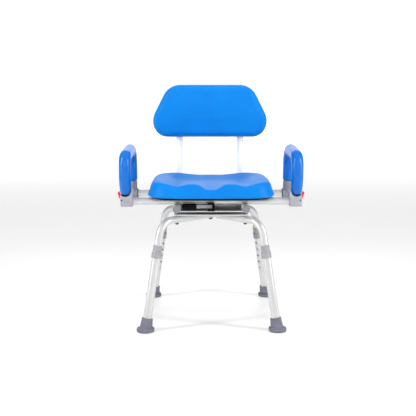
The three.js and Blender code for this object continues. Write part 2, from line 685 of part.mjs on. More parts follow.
for (const side of SIDES) {
  const x = side.x * ARM_PLANE;
  const barrel = rod(
    HINGE.radius,
    point(side.x * HINGE.inner, CROSS_TUBE_OUT, CROSS_TUBE_HEIGHT),
    point(side.x * HINGE.outer, CROSS_TUBE_OUT, CROSS_TUBE_HEIGHT),
    ROUND_SIDES,
  );
  const socket = rod(
    ARM_SOCKET_RADIUS,
    point(x, CROSS_TUBE_OUT, CROSS_TUBE_HEIGHT),
    point(x, CROSS_TUBE_OUT, HINGE.socketTop),
    ROUND_SIDES,
  );
  const fitting = cut(
    join(barrel, socket),
    rod(
      FRAME_TUBE.radius + BORE_GAP,
      point(side.x * (HINGE.inner - 20), CROSS_TUBE_OUT, CROSS_TUBE_HEIGHT),
      point(side.x * (HINGE.outer + 20), CROSS_TUBE_OUT, CROSS_TUBE_HEIGHT),
      ROUND_SIDES,
    ),
    rod(
      ARM_TUBE.radius + BORE_GAP,
      point(x, CROSS_TUBE_OUT, HINGE.socketBottom),
      point(x, CROSS_TUBE_OUT, HINGE.socketTop + 5),
      ROUND_SIDES,
    ),
  );
  add(`arm_hinge_${side.name}`, fitting, darkGreyPlastic);

  const loop = [
    point(x, CROSS_TUBE_OUT, HINGE.socketTop + GAP),
    point(x, CROSS_TUBE_OUT, ARM_REAR_HEIGHT),
    point(x, ARM_FRONT.forward, ARM_FRONT.height),
    point(x, ARM_FRONT.forward, ARM_FRONT.bendHeight),
    point(x, ARM_FRONT.bottomY, ARM_FRONT.bottomHeight),
  ];
  const stations = roundedPath(loop, ARM_LOOP_RADII, 4);
  const loopEnd = stations[stations.length - 1];
  const endInwards = loopEnd.at.clone().sub(loopEnd.heading);
  const padSleeve = { radius: ARM_PAD_RADIUS, bore: ARM_TUBE.radius + BORE_GAP };
  const roundedOff = alongLine(turned(PAD_END_CUT.slice().reverse()), loopEnd.at, endInwards);
  add(`arm_pad_${side.name}`, cut(bentTube(padSleeve, stations), roundedOff), gripFoam);

  const coreStations = stations.map((station) => ({ ...station }));
  coreStations[0] = { ...stations[0], at: point(x, CROSS_TUBE_OUT, HINGE.socketBottom + 1) };
  add(`arm_core_${side.name}`, bentTube(ARM_TUBE, coreStations, HOLE_SIDES), aluminium);

  // The plug closes the core's free end and rests in the catch's cradle.
  add(`arm_plug_${side.name}`, alongLine(turned(PLUG_PROFILE), loopEnd.at, endInwards), blackPlastic);

  const capFrom = point(side.x * HINGE_TUBE_END, CROSS_TUBE_OUT, CROSS_TUBE_HEIGHT);
  const capTowards = capFrom.clone().add(point(side.x, 0, 0));
  add(`hinge_cap_${side.name}`, alongLine(turned(HINGE_CAP_PROFILE), capFrom, capTowards), blackPlastic);
}

export default chair;
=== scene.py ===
import json
import math

import bmesh
import bpy
from mathutils import Matrix, Vector


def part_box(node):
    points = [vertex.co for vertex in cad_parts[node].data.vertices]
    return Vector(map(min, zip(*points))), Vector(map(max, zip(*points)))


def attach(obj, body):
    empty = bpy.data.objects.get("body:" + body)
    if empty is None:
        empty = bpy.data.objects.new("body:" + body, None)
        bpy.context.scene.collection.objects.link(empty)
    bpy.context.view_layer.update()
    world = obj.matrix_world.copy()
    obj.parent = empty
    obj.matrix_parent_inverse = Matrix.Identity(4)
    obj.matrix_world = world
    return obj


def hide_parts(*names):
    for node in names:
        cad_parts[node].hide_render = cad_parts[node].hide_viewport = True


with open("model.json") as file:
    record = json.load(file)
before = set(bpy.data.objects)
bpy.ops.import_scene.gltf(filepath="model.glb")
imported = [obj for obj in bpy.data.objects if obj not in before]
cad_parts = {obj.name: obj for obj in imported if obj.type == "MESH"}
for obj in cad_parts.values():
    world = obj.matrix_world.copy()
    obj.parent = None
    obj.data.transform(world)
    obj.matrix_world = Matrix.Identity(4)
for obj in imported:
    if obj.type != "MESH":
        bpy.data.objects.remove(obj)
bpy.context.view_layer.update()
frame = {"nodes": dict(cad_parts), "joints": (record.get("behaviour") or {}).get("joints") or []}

# ---------------- shared dimensions in metres, and settings

FRAME_TUBE, FRAME_BORE = 0.0127, 0.0112
LEG_TUBE, LEG_BORE = 0.0143, 0.0129
BASE_BEND = 0.055
POST_BEND = 0.060
BUTTON = 0.0033
HOLE_PITCH = 0.0254
HOLE_COUNT = 5
TUBE_SIDES = 40
HARD_ANGLE = math.radians(30)
FOAM_PRESSURE = 4.0
CLOTH_FRAMES = 20

SCENE = bpy.context.scene
CORNERS = {
    "front_left": (-1, -1),
    "front_right": (1, -1),
    "rear_left": (-1, 1),
    "rear_right": (1, 1),
}
SIDES = {"left": -1, "right": 1}
X, Y, Z = Vector((1, 0, 0)), Vector((0, 1, 0)), Vector((0, 0, 1))
JOINTS = {joint["name"]: joint for joint in frame["joints"]}


# ---------------- numbers

def mix(a, b, share):
    return a + (b - a) * share


def step(value, low, high):
    """0 below low, 1 above high, and smooth between."""
    t = min(1.0, max(0.0, (value - low) / (high - low)))
    return t * t * (3 - 2 * t)


def middle(node):
    low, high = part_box(node)
    return (low + high) / 2


# ---------------- lines and outlines

def arc(start, end, centre, steps):
    """Points from start to end on a circle about centre."""
    a, b = start - centre, end - centre
    angle = a.angle(b)
    for i in range(steps + 1):
        t = i / steps
        yield centre + (a * math.sin((1 - t) * angle) + b * math.sin(t * angle)) / math.sin(angle)


def filleted(points, radii, steps=4, closed=False):
    """A polyline whose corners are rounded. radii is one number, or one for each point."""
    points = [Vector(p) for p in points]
    radii = list(radii) if hasattr(radii, "__len__") else [radii] * len(points)
    line = []
    for i, corner in enumerate(points):
        a = points[i - 1] - corner
        b = points[(i + 1) % len(points)] - corner
        inner = closed or 0 < i < len(points) - 1
        if not inner or not radii[i] or a.angle(b) > math.pi - 0.02:
            line.append(corner)
            continue
        half = a.angle(b) / 2
        reach = min(radii[i] / math.tan(half), 0.49 * a.length, 0.49 * b.length)
        out_a, out_b = a.normalized(), b.normalized()
        centre = corner + (out_a + out_b).normalized() * reach / math.cos(half)
        line.extend(arc(corner + out_a * reach, corner + out_b * reach, centre, steps))
    return line


def dense(points, spacing):
    """The same line with long straight lengths divided."""
    line = [points[0]]
    for a, b in zip(points, points[1:]):
        count = max(1, math.ceil((b - a).length / spacing))
        line.extend(a.lerp(b, i / count) for i in range(1, count + 1))
    return line


# ---------------- meshes

def linked(name, data):
    obj = bpy.data.objects.new(name, data)
    SCENE.collection.objects.link(obj)
    return obj


def new_piece(name, bm):
    bmesh.ops.remove_doubles(bm, verts=bm.verts, dist=1e-6)
    bmesh.ops.recalc_face_normals(bm, faces=bm.faces)
    mesh = bpy.data.meshes.new(name)
    bm.to_mesh(mesh)
    bm.free()
    return smooth(linked(name, mesh))


def smooth(obj, angle=38):
    obj.data.polygons.foreach_set("use_smooth", [True] * len(obj.data.polygons))
    obj.data.set_sharp_from_angle(angle=math.radians(angle))
    return obj


def loft(name, rings, looped=False):
    """A closed body through rings of points. Its UVs run round each ring, and along the rings in metres."""
    bm = bmesh.new()
    uv = bm.loops.layers.uv.new("UVMap")
    count = len(rings[0])
    rows = [[bm.verts.new(p) for p in ring] for ring in rings]
    order = list(range(len(rings))) + ([0] if looped else [])
    along = 0.0
    for i, j in zip(order, order[1:]):
        next_along = along + (rings[j][0] - rings[i][0]).length
        for k in range(count):
            m = (k + 1) % count
            face = bm.faces.new((rows[i][k], rows[i][m], rows[j][m], rows[j][k]))
            around = (k / count, (k + 1) / count, (k + 1) / count, k / count)
            for loop, u, v in zip(face.loops, around, (along, along, next_along, next_along)):
                loop[uv].uv = (u, v)
        along = next_along
    if not looped:
        bm.faces.new(rows[0][::-1])
        bm.faces.new(rows[-1])
    return new_piece(name, bm)


def circle(centre, u, v, radius, sides=TUBE_SIDES):
    turns = (2 * math.pi * i / sides for i in range(sides))
    return [centre + u * radius * math.cos(t) + v * radius * math.sin(t) for t in turns]


def across(direction):
    """Two unit vectors square to a direction."""
    u = direction.orthogonal().normalized()
    return u, direction.normalized().cross(u)


def lathe(name, profile, origin=(0, 0, 0), axis=Z, sides=TUBE_SIDES, looped=False):
    """A profile of (radius, height) turned about an axis through origin."""
    axis = Vector(axis).normalized()
    u, v = across(axis)
    rings = [
        circle(Vector(origin) + axis * height, u, v, max(radius, 0.0), sides)
        for radius, height in profile
    ]
    return loft(name, rings, looped)


def route_frames(points):
    """A point and two crosswise unit vectors at each station of a route, carried along without twist."""
    last = len(points) - 1
    headings = [(points[min(i + 1, last)] - points[max(i - 1, 0)]).normalized() for i in range(last + 1)]
    u = across(headings[0])[0]
    for i, (point, heading) in enumerate(zip(points, headings)):
        if i:
            u = headings[i - 1].rotation_difference(heading) @ u
        u = (u - heading * u.dot(heading)).normalized()
        yield point, u, heading.cross(u)


def tube(name, points, radius, bore, sides=TUBE_SIDES, lip=0.0004):
    """A hollow bent tube with softened ends."""
    frames = list(route_frames(points))
    ends = [(points[1] - points[0]).normalized(), (points[-2] - points[-1]).normalized()]
    outer = [circle(p, u, v, radius, sides) for p, u, v in frames]
    inner = [circle(p, u, v, bore, sides) for p, u, v in reversed(frames)]
    for rings, lips in ((outer, ends), (inner, ends[::-1])):
        for place, heading in zip((0, -1), lips):
            rings[place] = [p + heading * lip for p in rings[place]]
    rounds = []
    for (p, u, v) in (frames[0], frames[-1]):
        rounds.append([circle(p, u, v, r, sides) for r in (radius - lip, bore + lip)])
    rings = [rounds[0][0], *outer, rounds[1][0], rounds[1][1], *inner, rounds[0][1]]
    return loft(name, rings, looped=True)


def dome(radius, base, rise, degrees):
    """The points of a dome's profile at these angles up from its rim."""
    turns = [math.radians(angle) for angle in degrees]
    return [(radius * math.cos(t), base + rise * math.sin(t)) for t in turns]


def washer(name, radius, low, high, origin, axis=Z, sides=TUBE_SIDES):
    profile = filleted([(0, low), (radius, low), (radius, high), (0, high)], 0.0003, 2)
    return lathe(name, profile, origin, axis, sides)


def rod(name, start, end, radius, lip=0.0004, sides=32):
    start, end = Vector(start), Vector(end)
    length = (end - start).length
    profile = filleted([(0, 0), (radius, 0), (radius, length), (0, length)], lip, 3)
    return lathe(name, profile, start, end - start, sides)


def placed(a, b, height, axis):
    """A point of an outline at a height along Y or Z."""
    return {"y": (a, height, b), "z": (a, b, height)}[axis]


def prism(name, outline, axis, low, high, rounding=0.0008, segments=3):
    """An outline pushed along Y or Z, with its hard edges rounded."""
    bm = bmesh.new()
    bottom = [bm.verts.new(placed(*p, low, axis)) for p in outline]
    top = [bm.verts.new(placed(*p, high, axis)) for p in outline]
    bm.faces.new(bottom[::-1])
    bm.faces.new(top)
    count = len(outline)
    for i in range(count):
        j = (i + 1) % count
        bm.faces.new((bottom[i], bottom[j], top[j], top[i]))
    bmesh.ops.recalc_face_normals(bm, faces=bm.faces)
    bm.normal_update()
    hard = [e for e in bm.edges if len(e.link_faces) == 2 and e.calc_face_angle() > HARD_ANGLE]
    bmesh.ops.bevel(
        bm, geom=hard, offset=rounding, segments=segments, profile=0.5, affect="EDGES", clamp_overlap=True
    )
    return new_piece(name, bm)


def rectangle(low, high):
    return [(low[0], low[1]), (high[0], low[1]), (high[0], high[1]), (low[0], high[1])]


def block(name, low, high, rounding, segments=3):
    low, high = Vector(low), Vector(high)
    return prism(name, rectangle(low, high), "z", low.z, high.z, rounding, segments)


def bake(obj):
    """Puts an object's modifiers into its mesh."""
    graph = bpy.context.evaluated_depsgraph_get()
    mesh = bpy.data.meshes.new_from_object(obj.evaluated_get(graph))
    obj.modifiers.clear()
    obj.data = mesh
    return obj


def combined(obj, operation, others):
    for other in others:
        change = obj.modifiers.new("combine", "BOOLEAN")
        change.operation = operation
        change.solver = "EXACT"
        change.object = other
    bake(obj)
    for other in others:
        bpy.data.objects.remove(other)
    return obj


def absorb(obj, other):
    """Adds another object's mesh to a piece, as a separate shell of it."""
    bm = bmesh.new()
    bm.from_mesh(obj.data)
    bm.from_mesh(other.data)
    bm.to_mesh(obj.data)
    bm.free()
    bpy.data.objects.remove(other)
    return smooth(obj)


def carved(obj, *cutters):
    return smooth(combined(obj, "DIFFERENCE", cutters))


def fused(obj, *others):
    return combined(obj, "UNION", others)


def modified(obj, kind, **settings):
    change = obj.modifiers.new(kind.lower(), kind)
    for key, value in settings.items():
        setattr(change, key, value)
    return bake(obj)


def remeshed(obj, voxel):
    return modified(obj, "REMESH", mode="VOXEL", voxel_size=voxel, use_smooth_shade=True)


def softened(obj, times):
    return modified(obj, "SMOOTH", factor=0.5, iterations=times)


def subdivided(obj):
    return smooth(modified(obj, "SUBSURF", levels=1, render_levels=1), 180)


def moulded(obj, voxel, times):
    """Melts a body's parts into one another, as a moulding's are."""
    return smooth(softened(remeshed(obj, voxel), times), 180)


def mirrored(obj, name):
    """A copy of a piece on the other side of the chair."""
    mesh = obj.data.copy()
    mesh.transform(Matrix.Scale(-1, 4, X))
    mesh.flip_normals()
    return linked(name, mesh)


def both_sides(stem, right, finish, body):
    """Fits a right-hand piece and its mirror image. A {} in body stands for the side's name."""
    left = mirrored(right, stem + "_left")
    for name, obj in (("left", left), ("right", right)):
        fitted(obj, finish, body.format(name), f"{stem}_{name}")
    return left, right


def shaped(obj, move):
    """Moves each vertex to move(point)."""
    for vertex in obj.data.vertices:
        vertex.co = move(vertex.co.copy())
    obj.data.update()
    return obj


def swollen(obj, voxel, cap):
    """A foam pad puffed out by a cloth simulation. cap(point) says how far a point may move."""
    remeshed(obj, voxel)
    rest = [v.co.copy() for v in obj.data.vertices]
    cloth = obj.modifiers.new("cloth", "CLOTH").settings
    cloth.use_pressure = True
    cloth.uniform_pressure_force = FOAM_PRESSURE
    cloth.effector_weights.gravity = 0
    for number in range(1, CLOTH_FRAMES + 1):
        SCENE.frame_set(number)
    bake(obj)
    for vertex, start in zip(obj.data.vertices, rest):
        moved = vertex.co - start
        limit = cap(start)
        if moved.length > limit:
            moved = moved.normalized() * limit if limit else Vector()
        vertex.co = start + moved
    SCENE.frame_set(1)
    return softened(obj, 3)


def fitted(obj, finish, body, *nodes):
    """Gives a finished piece its material and its body, and hides the CAD nodes it stands for."""
    obj.data.materials.clear()
    obj.data.materials.append(finish.material)
    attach(obj, body)
    if nodes:
        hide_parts(*nodes)
    return obj


# ---------------- materials

class Finish:
    """A procedural material built round one Principled shader."""

    def __init__(self, name, **sockets):
        self.slot = name
        self.material = bpy.data.materials.new(name)
        self.material.use_nodes = True
        self.tree = self.material.node_tree
        self.shader = self.tree.nodes["Principled BSDF"]
        for key, value in sockets.items():
            self.shader.inputs[key.replace("_", " ")].default_value = value

    def add(self, kind, inputs=None, **settings):
        node = self.tree.nodes.new("ShaderNode" + kind)
        for key, value in settings.items():
            setattr(node, key, value)
        for key, value in (inputs or {}).items():
            if isinstance(value, bpy.types.NodeSocket):
                self.tree.links.new(value, node.inputs[key])
            else:
                node.inputs[key].default_value = value
        return node

    def place(self, scale, source="Object"):
        """Coordinates in metres on the piece, stretched by scale."""
        coordinates = self.add("TexCoord").outputs[source]
        return self.add("Mapping", {"Vector": coordinates, "Scale": scale}).outputs["Vector"]

    def noise(self, scale, detail=3.0, roughness=0.5, stretch=(1, 1, 1), source="Object"):
        inputs = {
            "Vector": self.place(stretch, source),
            "Scale": scale,
            "Detail": detail,
            "Roughness": roughness,
        }
        return self.add("TexNoise", inputs).outputs["Fac"]

    def ramp(self, value, low, high, start=0.3, end=0.7):
        """A value from start to end turned into a number from low to high."""
        inputs = {"Value": value, "From Min": start, "From Max": end, "To Min": low, "To Max": high}
        return self.add("MapRange", inputs).outputs["Result"]

    def colour(self, value, low, high):
        inputs = {0: self.ramp(value, 0.0, 1.0), 6: (*low, 1), 7: (*high, 1)}
        return self.add("Mix", inputs, data_type="RGBA").outputs[2]

    def drive(self, socket, value):
        self.tree.links.new(value, self.shader.inputs[socket])

    def relief(self, *layers):
        """Bumps, each a (height, depth in metres) pair."""
        normal = None
        for height, depth in layers:
            inputs = {"Height": height, "Distance": depth, "Strength": 1.0}
            if normal is not None:
                inputs["Normal"] = normal
            normal = self.add("Bump", inputs).outputs["Normal"]
        self.drive("Normal", normal)


def tube_aluminium(name, metallic, dark, light):
    """Satin anodised tube, with faint drawing lines along its length."""
    made = Finish(name, Metallic=metallic)
    made.slot = "aluminium_tube"
    drawn = made.noise(1.0, 2.0, stretch=(90, 14, 1), source="UV")
    cloud = made.noise(14, 3)
    made.drive("Base Color", made.colour(cloud, dark, light))
    made.drive("Roughness", made.ramp(drawn, 0.3, 0.42))
    made.relief((drawn, 0.00002))
    return made


def rolled_plate():
    """Bright plate with the fine lines left by rolling and grinding."""
    made = Finish("plate_metal", Metallic=0.75)
    lines = made.noise(30, 4, stretch=(1, 30, 30))
    cloud = made.noise(9, 3)
    made.drive("Base Color", made.colour(cloud, (0.64, 0.64, 0.645), (0.71, 0.71, 0.71)))
    made.drive("Roughness", made.ramp(lines, 0.3, 0.48))
    made.relief((lines, 0.00003))
    return made


def mottled(name, dark, light, rough, grain, depth, cloud=None, **sockets):
    """A fine grain sets gloss and relief. Colour follows it too, unless broader clouds are given."""
    made = Finish(name, **sockets)
    fine = made.noise(*grain)
    patches = made.noise(*cloud) if cloud else fine
    made.drive("Base Color", made.colour(patches, dark, light))
    made.drive("Roughness", made.ramp(fine, *rough))
    made.relief((fine, depth))
    return made


def plastic(name, dark, light, roughness=0.5, grain=900, depth=0.00008, shine=0.25):
    """Injection-moulded plastic with a fine spark-eroded texture and a slight cloudiness."""
    rough = (roughness - 0.07, roughness + 0.08)
    return mottled(name, dark, light, rough, (grain, 4, 0.6), depth, (35, 3), Specular_IOR_Level=shine)


def foam_skin(name, dark, light, roughness, shine):
    """The blue skin of moulded foam: a leathery grain over soft unevenness."""
    made = Finish(name, Specular_IOR_Level=shine)
    cells = made.add(
        "TexVoronoi",
        {"Vector": made.place((1, 1, 1)), "Scale": 900.0, "Smoothness": 0.6},
        feature="SMOOTH_F1",
    ).outputs["Distance"]
    unevenness = made.noise(45, 3)
    cloud = made.noise(11, 4)
    made.drive("Base Color", made.colour(cloud, dark, light))
    made.drive("Roughness", made.ramp(cells, roughness - 0.05, roughness + 0.05, 0.1, 0.7))
    made.relief((unevenness, 0.0003), (cells, 0.00007))
    return made


ALUMINIUM = tube_aluminium("aluminium_tube", 0.5, (0.63, 0.63, 0.63), (0.68, 0.68, 0.68))
# The rails and back posts: the same aluminium as the other tubes, but near-white and without metal, which is
# painted light standing in for the strong light on them.
PAINTED_LIGHT_ALUMINIUM = tube_aluminium("aluminium_rail_painted_light", 0.0, (0.95, 0.945, 0.93), (0.99, 0.985, 0.97))
PLATE = rolled_plate()
# blackened bolt steel, a little brighter on worn patches
STEEL = mottled(
    "bolt_steel", (0.05, 0.05, 0.055), (0.16, 0.16, 0.165), (0.3, 0.5), (260, 4), 0.00004, Metallic=1.0
)
# paint with a slight orange peel
BLACK_METAL = mottled(
    "black_metal", (0.008, 0.008, 0.009), (0.02, 0.02, 0.022), (0.4, 0.55), (700, 2), 0.00004, Metallic=0.3
)
COLLAR_GREY = plastic("grey_collar_plastic", (0.295, 0.30, 0.32), (0.345, 0.35, 0.37))
FITTING_GREY = plastic("grey_plastic", (0.335, 0.33, 0.375), (0.39, 0.385, 0.43), 0.48, 800, 0.0001)
# A darker grey: on the rail caps it is their own colour, and on the arm hinges it is painted shade from the
# arms above them, since the hinges are the same grey plastic as the catches.
DARK_GREY_AND_PAINTED_SHADE = plastic("dark_grey_plastic", (0.21, 0.215, 0.235), (0.25, 0.255, 0.28))
BLACK_PLASTIC = plastic("black_plastic", (0.003, 0.003, 0.0035), (0.008, 0.008, 0.009), 0.45, shine=0.06)
# rubber with fine pores and a trace of dust
RUBBER = mottled(
    "grey_rubber", (0.138, 0.138, 0.178), (0.185, 0.185, 0.23), (0.6, 0.82),
    (1100, 5, 0.7), 0.00012, (60, 4), Specular_IOR_Level=0.3,
)
FOAM = foam_skin("blue_foam", (0.001, 0.164, 0.545), (0.0015, 0.187, 0.595), 0.40, 0.10)
GRIP_FOAM = foam_skin("blue_grip_foam", (0.001, 0.117, 0.48), (0.0015, 0.140, 0.54), 0.27, 0.35)
RED = mottled(
    "red_plastic", (0.72, 0.0, 0.02), (0.86, 0.004, 0.035), (0.22, 0.34),
    (150, 3), 0.00003, Specular_IOR_Level=0.5, Coat_Weight=0.3, Coat_Roughness=0.1,
)
BRASS = mottled(
    "brass_button", (0.62, 0.44, 0.10), (0.80, 0.64, 0.20), (0.2, 0.42), (500, 4), 0.00002, Metallic=1.0
)


# ---------------- camera, floor and light

EYE = Vector((-0.0390, -2.5653, 0.7634))
EYE_DOWN, EYE_TURN = 8.42, -0.66
LENS = 62.8
LIT_POINT = Vector((0, 0, 0.45))
ROOM_GLOW = 0.08
GLOW_START, GLOW_END = 1.5, 9.0


def camera():
    data = bpy.data.cameras.new("camera")
    data.sensor_width = 36
    data.lens = LENS
    data.clip_end = 200
    eye = linked("camera", data)
    eye.location = EYE
    eye.rotation_euler = (math.radians(90 - EYE_DOWN), 0, math.radians(EYE_TURN))
    SCENE.camera = eye


def softbox(name, place, size, power, shines=True):
    """A soft light. One that doesn't shine lights surfaces without being mirrored in them."""
    data = bpy.data.lights.new(name, "AREA")
    data.shape = "RECTANGLE"
    data.size, data.size_y = size
    data.energy = power
    light = linked(name, data)
    light.location = place
    light.rotation_euler = (LIT_POINT - Vector(place)).to_track_quat("-Z", "Y").to_euler()
    light.visible_glossy = shines


def plain_surface(name, grey, near_glow, far_glow, rings):
    """A staged surface of revolution, which glows more towards its rim, where the lights fall off."""
    obj = lathe(name, rings, sides=96)
    made = Finish(name, Roughness=0.4, Specular_IOR_Level=0.25)
    made.shader.inputs["Emission Color"].default_value = (1, 1, 1, 1)
    made.shader.inputs["Base Color"].default_value = (grey, grey, grey, 1)
    place = made.add("TexCoord").outputs["Object"]
    distance = made.add("VectorMath", {0: place}, operation="LENGTH").outputs["Value"]
    made.drive("Emission Strength", made.ramp(distance, near_glow, far_glow, GLOW_START, GLOW_END))
    obj.data.materials.append(made.material)
    return obj


def studio():
    """A pale floor, a white backdrop, and a dim room, brighter behind, above and before the chair."""
    plain_surface("floor", 0.70, 0.20, 0.95, [(0, -0.02), (40, -0.02), (40, 0), (0, 0)])
    backdrop = plain_surface("backdrop", 0, 1, 1, [(0, 30), (20, 25), (39, 0.01), (39, 0), (0, -0.01)])
    for ray in ("diffuse", "glossy", "transmission", "volume_scatter", "shadow"):
        setattr(backdrop, "visible_" + ray, False)
    world = bpy.data.worlds.new("room")
    SCENE.world = world
    world.use_nodes = True
    tree = world.node_tree
    direction = tree.nodes.new("ShaderNodeTexCoord").outputs["Generated"]

    def bright_patch(towards, start, end, level):
        dot = tree.nodes.new("ShaderNodeVectorMath")
        dot.operation = "DOT_PRODUCT"
        dot.inputs[1].default_value = Vector(towards).normalized()
        tree.links.new(direction, dot.inputs[0])
        patch = tree.nodes.new("ShaderNodeMapRange")
        patch.interpolation_type = "SMOOTHSTEP"
        for key, value in (("From Min", start), ("From Max", end), ("To Min", 0), ("To Max", level)):
            patch.inputs[key].default_value = value
        tree.links.new(dot.outputs["Value"], patch.inputs["Value"])
        return patch.outputs["Result"]

    total = tree.nodes.new("ShaderNodeValue").outputs[0]
    total.default_value = ROOM_GLOW
    for patch in (
        bright_patch((0, 1, 0.12), 0.84, 0.95, 1.45),
        bright_patch((0, -0.1, 1), 0.3, 0.8, 0.15),
        bright_patch((0, -1, 0.1), 0.55, 0.95, 0.45),
    ):
        add = tree.nodes.new("ShaderNodeMath")
        tree.links.new(patch, add.inputs[0])
        tree.links.new(total, add.inputs[1])
        total = add.outputs[0]
    background = tree.nodes["Background"]
    background.inputs["Color"].default_value = (1, 1, 1, 1)
    tree.links.new(total, background.inputs["Strength"])
    softbox("left", (-2.0, -0.8, 1.4), (0.28, 2.0), 38)
    softbox("right", (2.0, -0.8, 1.4), (0.28, 2.0), 40)
    softbox("front", (0, -3.1, 1.9), (2.4, 1.4), 46, shines=False)
    softbox("top", (0, 0.2, 3.0), (2.4, 2.0), 37, shines=False)
    SCENE.view_settings.view_transform = "Standard"


camera()
studio()


# ---------------- legs and base

LEG_LEAN = abs(JOINTS["leg_slide_front_left"]["axis"][0] / JOINTS["leg_slide_front_left"]["axis"][2])
FOOT_OUT = 0.221
RUN_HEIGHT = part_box("lower_swivel_plate")[0].z - 0.0003 - FRAME_TUBE
TUBE_END_HEIGHT = 0.104
LEG_STATIONS = (0.010, 0.095, 0.2585)
LOWEST_HOLE = 0.121
LEG_HOLE, BASE_HOLE = 0.0039, 0.0037
SLANT = math.hypot(1, LEG_LEAN, LEG_LEAN)
CROSSING = {"flat": 0.014, "end": 0.038, "spread": 0.16, "squeeze": 0.53, "shift": 0.0065}
UPPER_COLLAR = {"bottom": 0.2636, "top": 0.2832, "radius": 0.0154, "bore": 0.0128, "rim": 0.0022}
LEG_COLLAR = {"bottom": 0.2420, "top": 0.2614, "radius": 0.0173, "bore": 0.0129, "rim": 0.0030}
BUTTON_ROOT, BUTTON_DOME = 0.009, 0.0022
LEG_BUTTON_TIP, UPPER_BUTTON_TIP = 0.0178, 0.0172
UPPER_BUTTON_HEIGHT = 0.2868
NECK_START, NECK_END = 0.0105, 0.0165


def on_leg(corner, height):
    out = FOOT_OUT - LEG_LEAN * height
    return Vector((corner[0] * out, corner[1] * out, height))


def leg_axis(corner):
    return (on_leg(corner, 1) - on_leg(corner, 0)).normalized()


def inward(corner):
    return Vector((-corner[0], -corner[1], 0)).normalized()


def leg_hole(corner, number, radius):
    """The cutter of one height hole, on the leg's inner side."""
    centre = on_leg(corner, LOWEST_HOLE + number * HOLE_PITCH / SLANT)
    return rod("hole", centre + inward(corner) * 0.006, centre + inward(corner) * 0.02, radius)


def base_tube(name, first, second, side):
    """One bent tube from leg to leg, pressed half flat where it crosses the other."""
    heights = (TUBE_END_HEIGHT, RUN_HEIGHT)
    corners = [on_leg(first, h) for h in heights] + [on_leg(second, h) for h in heights[::-1]]
    route = dense(filleted(corners, BASE_BEND, 16), 0.006)
    obj = tube(name, route, FRAME_TUBE, FRAME_BORE)
    along = Vector((second[0] - first[0], second[1] - first[1], 0)).normalized()

    def press(point):
        distance = point.dot(along)
        near = 1 - step(abs(distance), CROSSING["flat"], CROSSING["end"])
        pressed = near * (point.z > RUN_HEIGHT - 0.02)
        sideways = Vector((point.x, point.y, 0)) - along * distance
        point += sideways * CROSSING["spread"] * pressed
        rise = (point.z - RUN_HEIGHT) * (1 - CROSSING["squeeze"] * pressed)
        point.z = RUN_HEIGHT + rise + side * CROSSING["shift"] * pressed
        return point

    shaped(obj, press)
    holes = [leg_hole(corner, i, BASE_HOLE) for corner in (first, second) for i in range(1, HOLE_COUNT)]
    fitted(carved(obj, *holes), ALUMINIUM, "base", name)


base_tube("base_tube_a", CORNERS["front_left"], CORNERS["rear_right"], -1)
base_tube("base_tube_b", CORNERS["front_right"], CORNERS["rear_left"], 1)


def collar(name, corner, bottom, top, radius, bore, rim):
    """A moulded sleeve on a leg, with a raised rim at each end."""
    length = (top - bottom) * SLANT
    waist, slope = radius - 0.0005, 0.0004
    profile = [
        (bore, 0), (radius, 0), (radius, rim), (waist, rim + slope),
        (waist, length - rim - slope), (radius, length - rim), (radius, length), (bore, length),
    ]
    profile = filleted(profile, 0.0007, 3, closed=True)
    return lathe(name, profile, on_leg(corner, bottom), leg_axis(corner), 48, looped=True)


def foot(name, corner):
    """A rubber ferrule: a flange flat on the floor under a tapered neck that follows the leg."""
    flange = [
        (0.0, 0.0012), (0.0080, 0.0012), (0.0085, 0.0), (0.0125, 0.0), (0.0130, 0.0012), (0.0170, 0.0012),
        (0.0175, 0.0), (0.0268, 0.0), (0.0283, 0.0006), (0.0293, 0.0022), (0.0297, 0.0045),
        (0.0297, 0.0088), (0.0294, 0.0106), (0.0285, 0.0117), (0.0270, 0.0121), (0.0230, 0.0122),
    ]
    neck = [
        (0.0216, 0.0126), (0.0211, 0.0140), (0.0208, 0.0175), (0.0200, 0.0250), (0.0191, 0.0350),
        (0.0185, 0.0420), (0.0182, 0.0434), (0.0175, 0.0440), (0.0160, 0.0440), (0.0148, 0.0436),
        (0.0147, 0.0380), (0.0, 0.0380),
    ]
    under = on_leg(corner, 0)
    rings = []
    for radius, height in flange + neck:
        follow = step(height, NECK_START, NECK_END)
        centre = mix(under + Z * height, on_leg(corner, height), follow)
        axis = mix(Z, leg_axis(corner), follow).normalized()
        u = (X - axis * X.dot(axis)).normalized()
        rings.append(circle(centre, u, axis.cross(u), radius, 56))
    return loft(name, rings)


def dome_button(name, corner, height, tip):
    """A snap button whose head stands out of a hole on the leg's inner side."""
    rim = tip - BUTTON_DOME
    profile = [(0, BUTTON_ROOT), (BUTTON, BUTTON_ROOT), (BUTTON, rim)]
    profile += dome(BUTTON, rim, BUTTON_DOME, range(15, 91, 15))
    return lathe(name, profile, on_leg(corner, height), inward(corner), 24)


def leg(name, corner):
    """One leg's sliding parts, and the collar and buttons that hold it."""
    body = "leg_" + name
    upper = collar("upper_collar_" + name, corner, **UPPER_COLLAR)
    fitted(upper, COLLAR_GREY, "base", "upper_collar_" + name)
    lower = collar("leg_collar_" + name, corner, **LEG_COLLAR)
    fitted(lower, COLLAR_GREY, body, "leg_collar_" + name)

    pipe = tube("leg_tube_" + name, [on_leg(corner, h) for h in LEG_STATIONS], LEG_TUBE, LEG_BORE, 48)
    holes = [leg_hole(corner, i, LEG_HOLE) for i in range(HOLE_COUNT)]
    fitted(carved(pipe, *holes), ALUMINIUM, body, "leg_tube_" + name)
    fitted(foot("foot_" + name, corner), RUBBER, body, "foot_" + name)

    button = dome_button("snap_button_" + name, corner, LOWEST_HOLE, LEG_BUTTON_TIP)
    fitted(button, BRASS, "button_" + name, "snap_button_" + name)
    upper_button = dome_button("upper_button_" + name, corner, UPPER_BUTTON_HEIGHT, UPPER_BUTTON_TIP)
    fitted(upper_button, BRASS, "base")


for name, corner in CORNERS.items():
    leg(name, corner)


# ---------------- swivel plates, races and bolts

